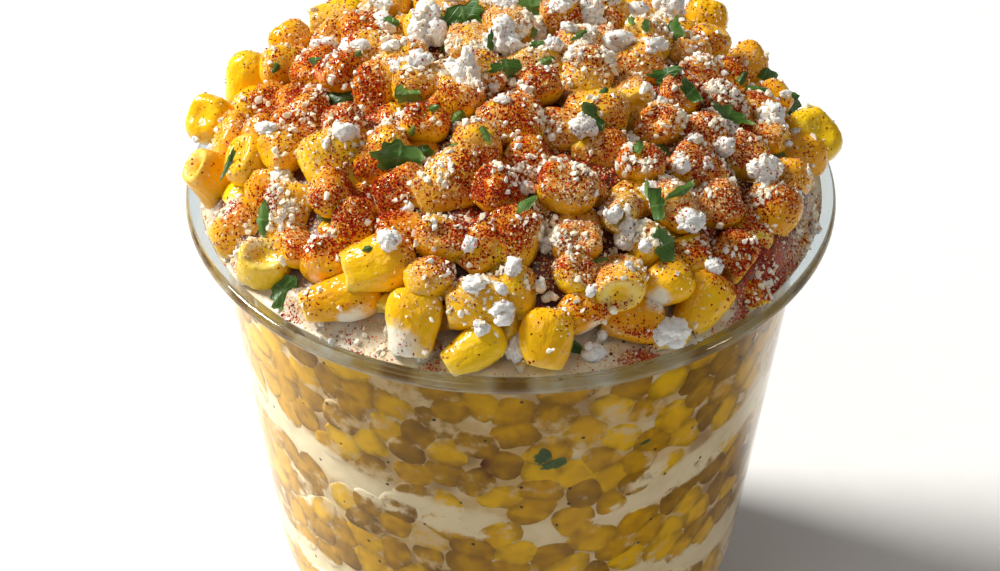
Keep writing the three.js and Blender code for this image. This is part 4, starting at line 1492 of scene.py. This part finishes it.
def grain_tree(name, cover, material, shape, cluster, jag, tints):
    """Geometry nodes that strew grains of a shape over a surface, thickest where an attribute says so.
    They gather in clusters, given as a size in millimetres and the noise from which a cluster starts and
    is full. The jag, in millimetres, bends each grain out of shape by up to about a fifth of it. The
    tints are the span of shades that the grains take."""
    tree = bpy.data.node_groups.new(name, "GeometryNodeTree")
    add = partial(add_node, tree)
    tree.interface.new_socket("Geometry", in_out="INPUT", socket_type="NodeSocketGeometry")
    for label in ("Grains per square metre", "Smallest", "Largest"):
        tree.interface.new_socket(label, in_out="INPUT", socket_type="NodeSocketFloat")
    tree.interface.new_socket("Seed", in_out="INPUT", socket_type="NodeSocketInt")
    tree.interface.new_socket("Geometry", in_out="OUTPUT", socket_type="NodeSocketGeometry")
    source = add("NodeGroupInput")
    place = add("GeometryNodeInputPosition")[0]
    size, start, full = cluster
    gather = add(NOISE, {"Vector": place, "Scale": 1 / (size * MM), "Detail": 3})[0]
    gather = add(RANGE, (gather, start, full), interpolation_type="SMOOTHSTEP")[0]
    gather = add(MATH, (gather, IN_CLUSTER, BETWEEN_CLUSTERS), operation="MULTIPLY_ADD")[0]
    thick = add("GeometryNodeInputNamedAttribute", {"Name": cover}, data_type="FLOAT")[0]
    thick = add(MATH, (thick, gather), operation="MULTIPLY")[0]
    density = add(MATH, (thick, source["Grains per square metre"]), operation="MULTIPLY")[0]
    spots = add("GeometryNodeDistributePointsOnFaces", {
        "Mesh": source["Geometry"], "Density": density, "Seed": source["Seed"]})["Points"]
    small = add(RANDOM, {"Seed": 1}, data_type="FLOAT")[1]
    small = add(MATH, (small, SMALLNESS), operation="POWER")[0]
    span = add(RANGE, {"Value": small, "To Min": source["Smallest"], "To Max": source["Largest"]})[0]
    form = add(RANDOM, {0: LEAST_FORM, 1: MOST_FORM, "Seed": 2}, data_type="FLOAT_VECTOR")[0]
    form = add(VECTOR, {0: form, "Scale": span}, operation="SCALE")[0]
    spin = add(RANDOM, {0: (0, 0, 0), 1: (FULL_TURN,) * 3, "Seed": 3}, data_type="FLOAT_VECTOR")[0]
    strewn = add("GeometryNodeInstanceOnPoints", {
        "Points": spots, "Instance": add(*shape)["Mesh"], "Rotation": spin, "Scale": form})[0]
    tone = add(RANDOM, {2: tints[0], 3: tints[1], "Seed": 4}, data_type="FLOAT")[1]
    toned = add("GeometryNodeStoreNamedAttribute", {"Geometry": strewn, "Name": "shade", "Value": tone},
                data_type="FLOAT", domain="INSTANCE")[0]
    solid = add("GeometryNodeRealizeInstances", (toned,))[0]
    bend = add(NOISE, {"Vector": place, "Scale": 2 / (jag * MM), "Detail": 1.0})["Color"]
    bend = add(VECTOR, (bend, (jag * MM,) * 3, (-jag * MM / 2,) * 3), operation="MULTIPLY_ADD")[0]
    bent = add("GeometryNodeSetPosition", {"Geometry": solid, "Offset": bend})[0]
    add("NodeGroupOutput", (add("GeometryNodeSetMaterial", {"Geometry": bent, "Material": material})[0],))
    return tree


def strewn_mesh(name, bed, tree, values):
    """Runs a tree of geometry nodes on the bed and gives its result as a plain mesh."""
    modifier = bed.modifiers.new(name, "NODES")
    modifier.node_group = tree
    sockets = {item.name: item.identifier for item in tree.interface.items_tree if item.in_out == "INPUT"}
    for label, value in values.items():
        modifier[sockets[label]] = value
    graph = bpy.context.evaluated_depsgraph_get()
    mesh = bpy.data.meshes.new_from_object(bed.evaluated_get(graph))
    bed.modifiers.remove(modifier)
    mesh.name = name
    return mesh


# How much chili and fine cheese stays on each piece.
POWDER_SHARES = {"corn_kernels": (1, 1), "cream": (0.9, 1.4), "cheese_lumps": (0.1, 0.3),
                 "leaf_pieces": (0.08, 0.1)}
# How strongly each powder's cover shows in the materials under it, and the most that it covers.
DRAWN_CHILI, MOST_CHILI = 1.3, 0.95
DRAWN_CRUMB, MOST_CRUMB = 0.75, 0.7


class ESQUITES_OT_powder(bpy.types.Operator):
    """Sprinkles chili powder and fine cheese over the heap"""

    bl_idname = "esquites.powder"
    bl_label = "Chili and fine cheese"

    def execute(self, context):
        tree = surface_tree(*POWDER_SHARES)
        points, faces, red, white, start = [], [], [], [], 0
        for name, (red_share, white_share) in POWDER_SHARES.items():
            mesh = bpy.data.objects[name].data
            place, normal = mesh_points(mesh)
            top = place[:, 2] > BRIM_LEVEL - 1
            chili, crumb = np.zeros(len(place)), np.zeros(len(place))
            chili[top], crumb[top] = powder_cover(place[top], normal[top], tree)
            add_values(mesh, "chili", np.clip(chili * red_share * DRAWN_CHILI, 0, MOST_CHILI))
            add_values(mesh, "crumb", np.clip(crumb * white_share * DRAWN_CRUMB, 0, MOST_CRUMB))
            points.append(place)
            faces += [[start + i for i in face.vertices] for face in mesh.polygons
                      if all(top[i] for i in face.vertices)]
            red.append(chili * red_share)
            white.append(crumb * white_share)
            start += len(place)
        pile = Pile("red", "white")
        pile.add(np.concatenate(points), faces, red=np.concatenate(red), white=np.concatenate(white))
        bed = bpy.data.objects.new("powder_bed", pile.mesh("powder_bed"))
        context.scene.collection.objects.link(bed)
        toppings = settings().toppings
        meal = cheese_meal()
        lump = ("GeometryNodeMeshIcoSphere", {"Radius": 0.5, "Subdivisions": 1})
        block = ("GeometryNodeMeshUVSphere", {"Radius": 0.5, "Segments": 4, "Rings": 2})
        flake = ("GeometryNodeMeshCone", {"Vertices": 3, "Radius Bottom": 0.62, "Depth": 0.7})
        # What grain_tree takes, then slot, grains for each square millimetre, smallest, largest and seed.
        kinds = (
            (("cheese_crumbs", "white", meal, lump, (3.0, 0.55, 0.62), 1.0, (0.0, 0.32)),
             "cheese", toppings.cheese_crumbs, 0.35, 1.4, 5),
            (("cheese_meal", "white", meal, block, (2.4, 0.38, 0.6), 0.4, (0.3, 1.0)),
             "cheese", toppings.cheese_grains, 0.18, 0.54, 3),
            (("chili_powder", "red", chili_powder(), flake, (2.4, 0.46, 0.62), 0.25, (0.12, 1.0)),
             "chili", toppings.chili_grains, 0.15, 0.54, 7))
        for kind, slot, count, least, most, seed in kinds:
            name, material, grains = kind[0], kind[2], grain_tree(*kind)
            values = {"Grains per square metre": count / MM ** 2, "Smallest": least * MM,
                      "Largest": most * MM, "Seed": seed}
            finished_piece(name, strewn_mesh(name, bed, grains, values), material, slot)
        bpy.data.objects.remove(bed)
        return {"FINISHED"}


# ---------------------------------------------------------------- stage


FLOOR_HALF = 3.0  # metres
# Lamps: name, place and width in metres, watts and colour.
LAMPS = (("key", (-1.20, 0.45, 1.25), 0.5, 46, "#FFFDF6"), ("fill", (-0.6, -0.8, 1.5), 0.8, 3.4, "#FFF1DE"),
         ("side", (1.2, -0.4, 0.7), 0.22, 2.2, "#FFF6EA"))


class ESQUITES_OT_stage(bpy.types.Operator):
    """Lays a plain pale floor and sets up soft studio light and the camera"""

    bl_idname = "esquites.stage"
    bl_label = "Stage"

    def execute(self, context):
        scene = context.scene
        mesh = bpy.data.meshes.new("floor")
        corners = ((-1, -1, 0), (1, -1, 0), (1, 1, 0), (-1, 1, 0))
        mesh.from_pydata([Vector(corner) * FLOOR_HALF for corner in corners], [], [(0, 1, 2, 3)])
        floor = bpy.data.objects.new("floor", mesh)
        mesh.materials.append(laminate())
        scene.collection.objects.link(floor)
        for lamp in LAMPS:
            self.light(*lamp)
        scene.world = bpy.data.worlds.new("studio")
        scene.world.use_nodes = True
        sky = scene.world.node_tree.nodes["Background"]
        set_inputs(sky, {"Color": linear("#E2EAF6"), "Strength": 0.16})
        camera = bpy.data.objects.new("camera", bpy.data.cameras.new("camera"))
        scene.collection.objects.link(camera)
        camera.data.lens = CAMERA_LENS
        camera.data.sensor_width = SENSOR_WIDTH
        camera.matrix_world = Matrix.Translation(CAMERA_PLACE * MM) @ camera_matrix().to_4x4()
        scene.camera = camera
        scene.view_settings.view_transform = "Standard"
        return {"FINISHED"}

    def light(self, name, place, size, power, colour):
        """Hangs a round lamp that shines at the rim's level."""
        lamp = bpy.data.lights.new(name, "AREA")
        lamp.shape = "DISK"
        lamp.size = size
        lamp.energy = power
        lamp.color = linear(colour)[:3]
        item = bpy.data.objects.new(name, lamp)
        item.location = place
        aim = Vector((0, 0, CUP_HEIGHT * MM)) - item.location
        item.rotation_euler = aim.to_track_quat("-Z", "Y").to_euler()
        bpy.context.scene.collection.objects.link(item)


# ---------------------------------------------------------------- add-on


STEPS = (ESQUITES_OT_stage, ESQUITES_OT_cup, ESQUITES_OT_pressed_corn, ESQUITES_OT_cream, ESQUITES_OT_heap,
         ESQUITES_OT_cheese, ESQUITES_OT_leaves, ESQUITES_OT_powder)


class ESQUITES_PT_sidebar(bpy.types.Panel):
    """Lists the steps and the settings"""

    bl_label = "Esquites"
    bl_idname = "ESQUITES_PT_sidebar"
    bl_space_type = "VIEW_3D"
    bl_region_type = "UI"
    bl_category = "Esquites"

    def draw(self, context):
        for step in STEPS:
            self.layout.operator(step.bl_idname)
        for name in ("cup", "contents", "heap", "toppings"):
            group = getattr(context.scene.esquites, name)
            box = self.layout.box()
            for key in group.__annotations__:
                box.prop(group, key)


CLASSES = (EsquitesCup, EsquitesContents, EsquitesHeap, EsquitesToppings, EsquitesSettings, *STEPS,
           ESQUITES_PT_sidebar)


def register():
    for item in CLASSES:
        bpy.utils.register_class(item)
    bpy.types.Scene.esquites = PointerProperty(type=EsquitesSettings)


def unregister():
    del bpy.types.Scene.esquites
    for item in reversed(CLASSES):
        bpy.utils.unregister_class(item)


def main():
    register()
    bpy.ops.esquites.stage()
    bpy.ops.esquites.cup()
    bpy.ops.esquites.pressed_corn()
    bpy.ops.esquites.cream()
    bpy.ops.esquites.heap()
    bpy.ops.esquites.cheese()
    bpy.ops.esquites.leaves()
    bpy.ops.esquites.powder()


if __name__ == "__main__":
    main()
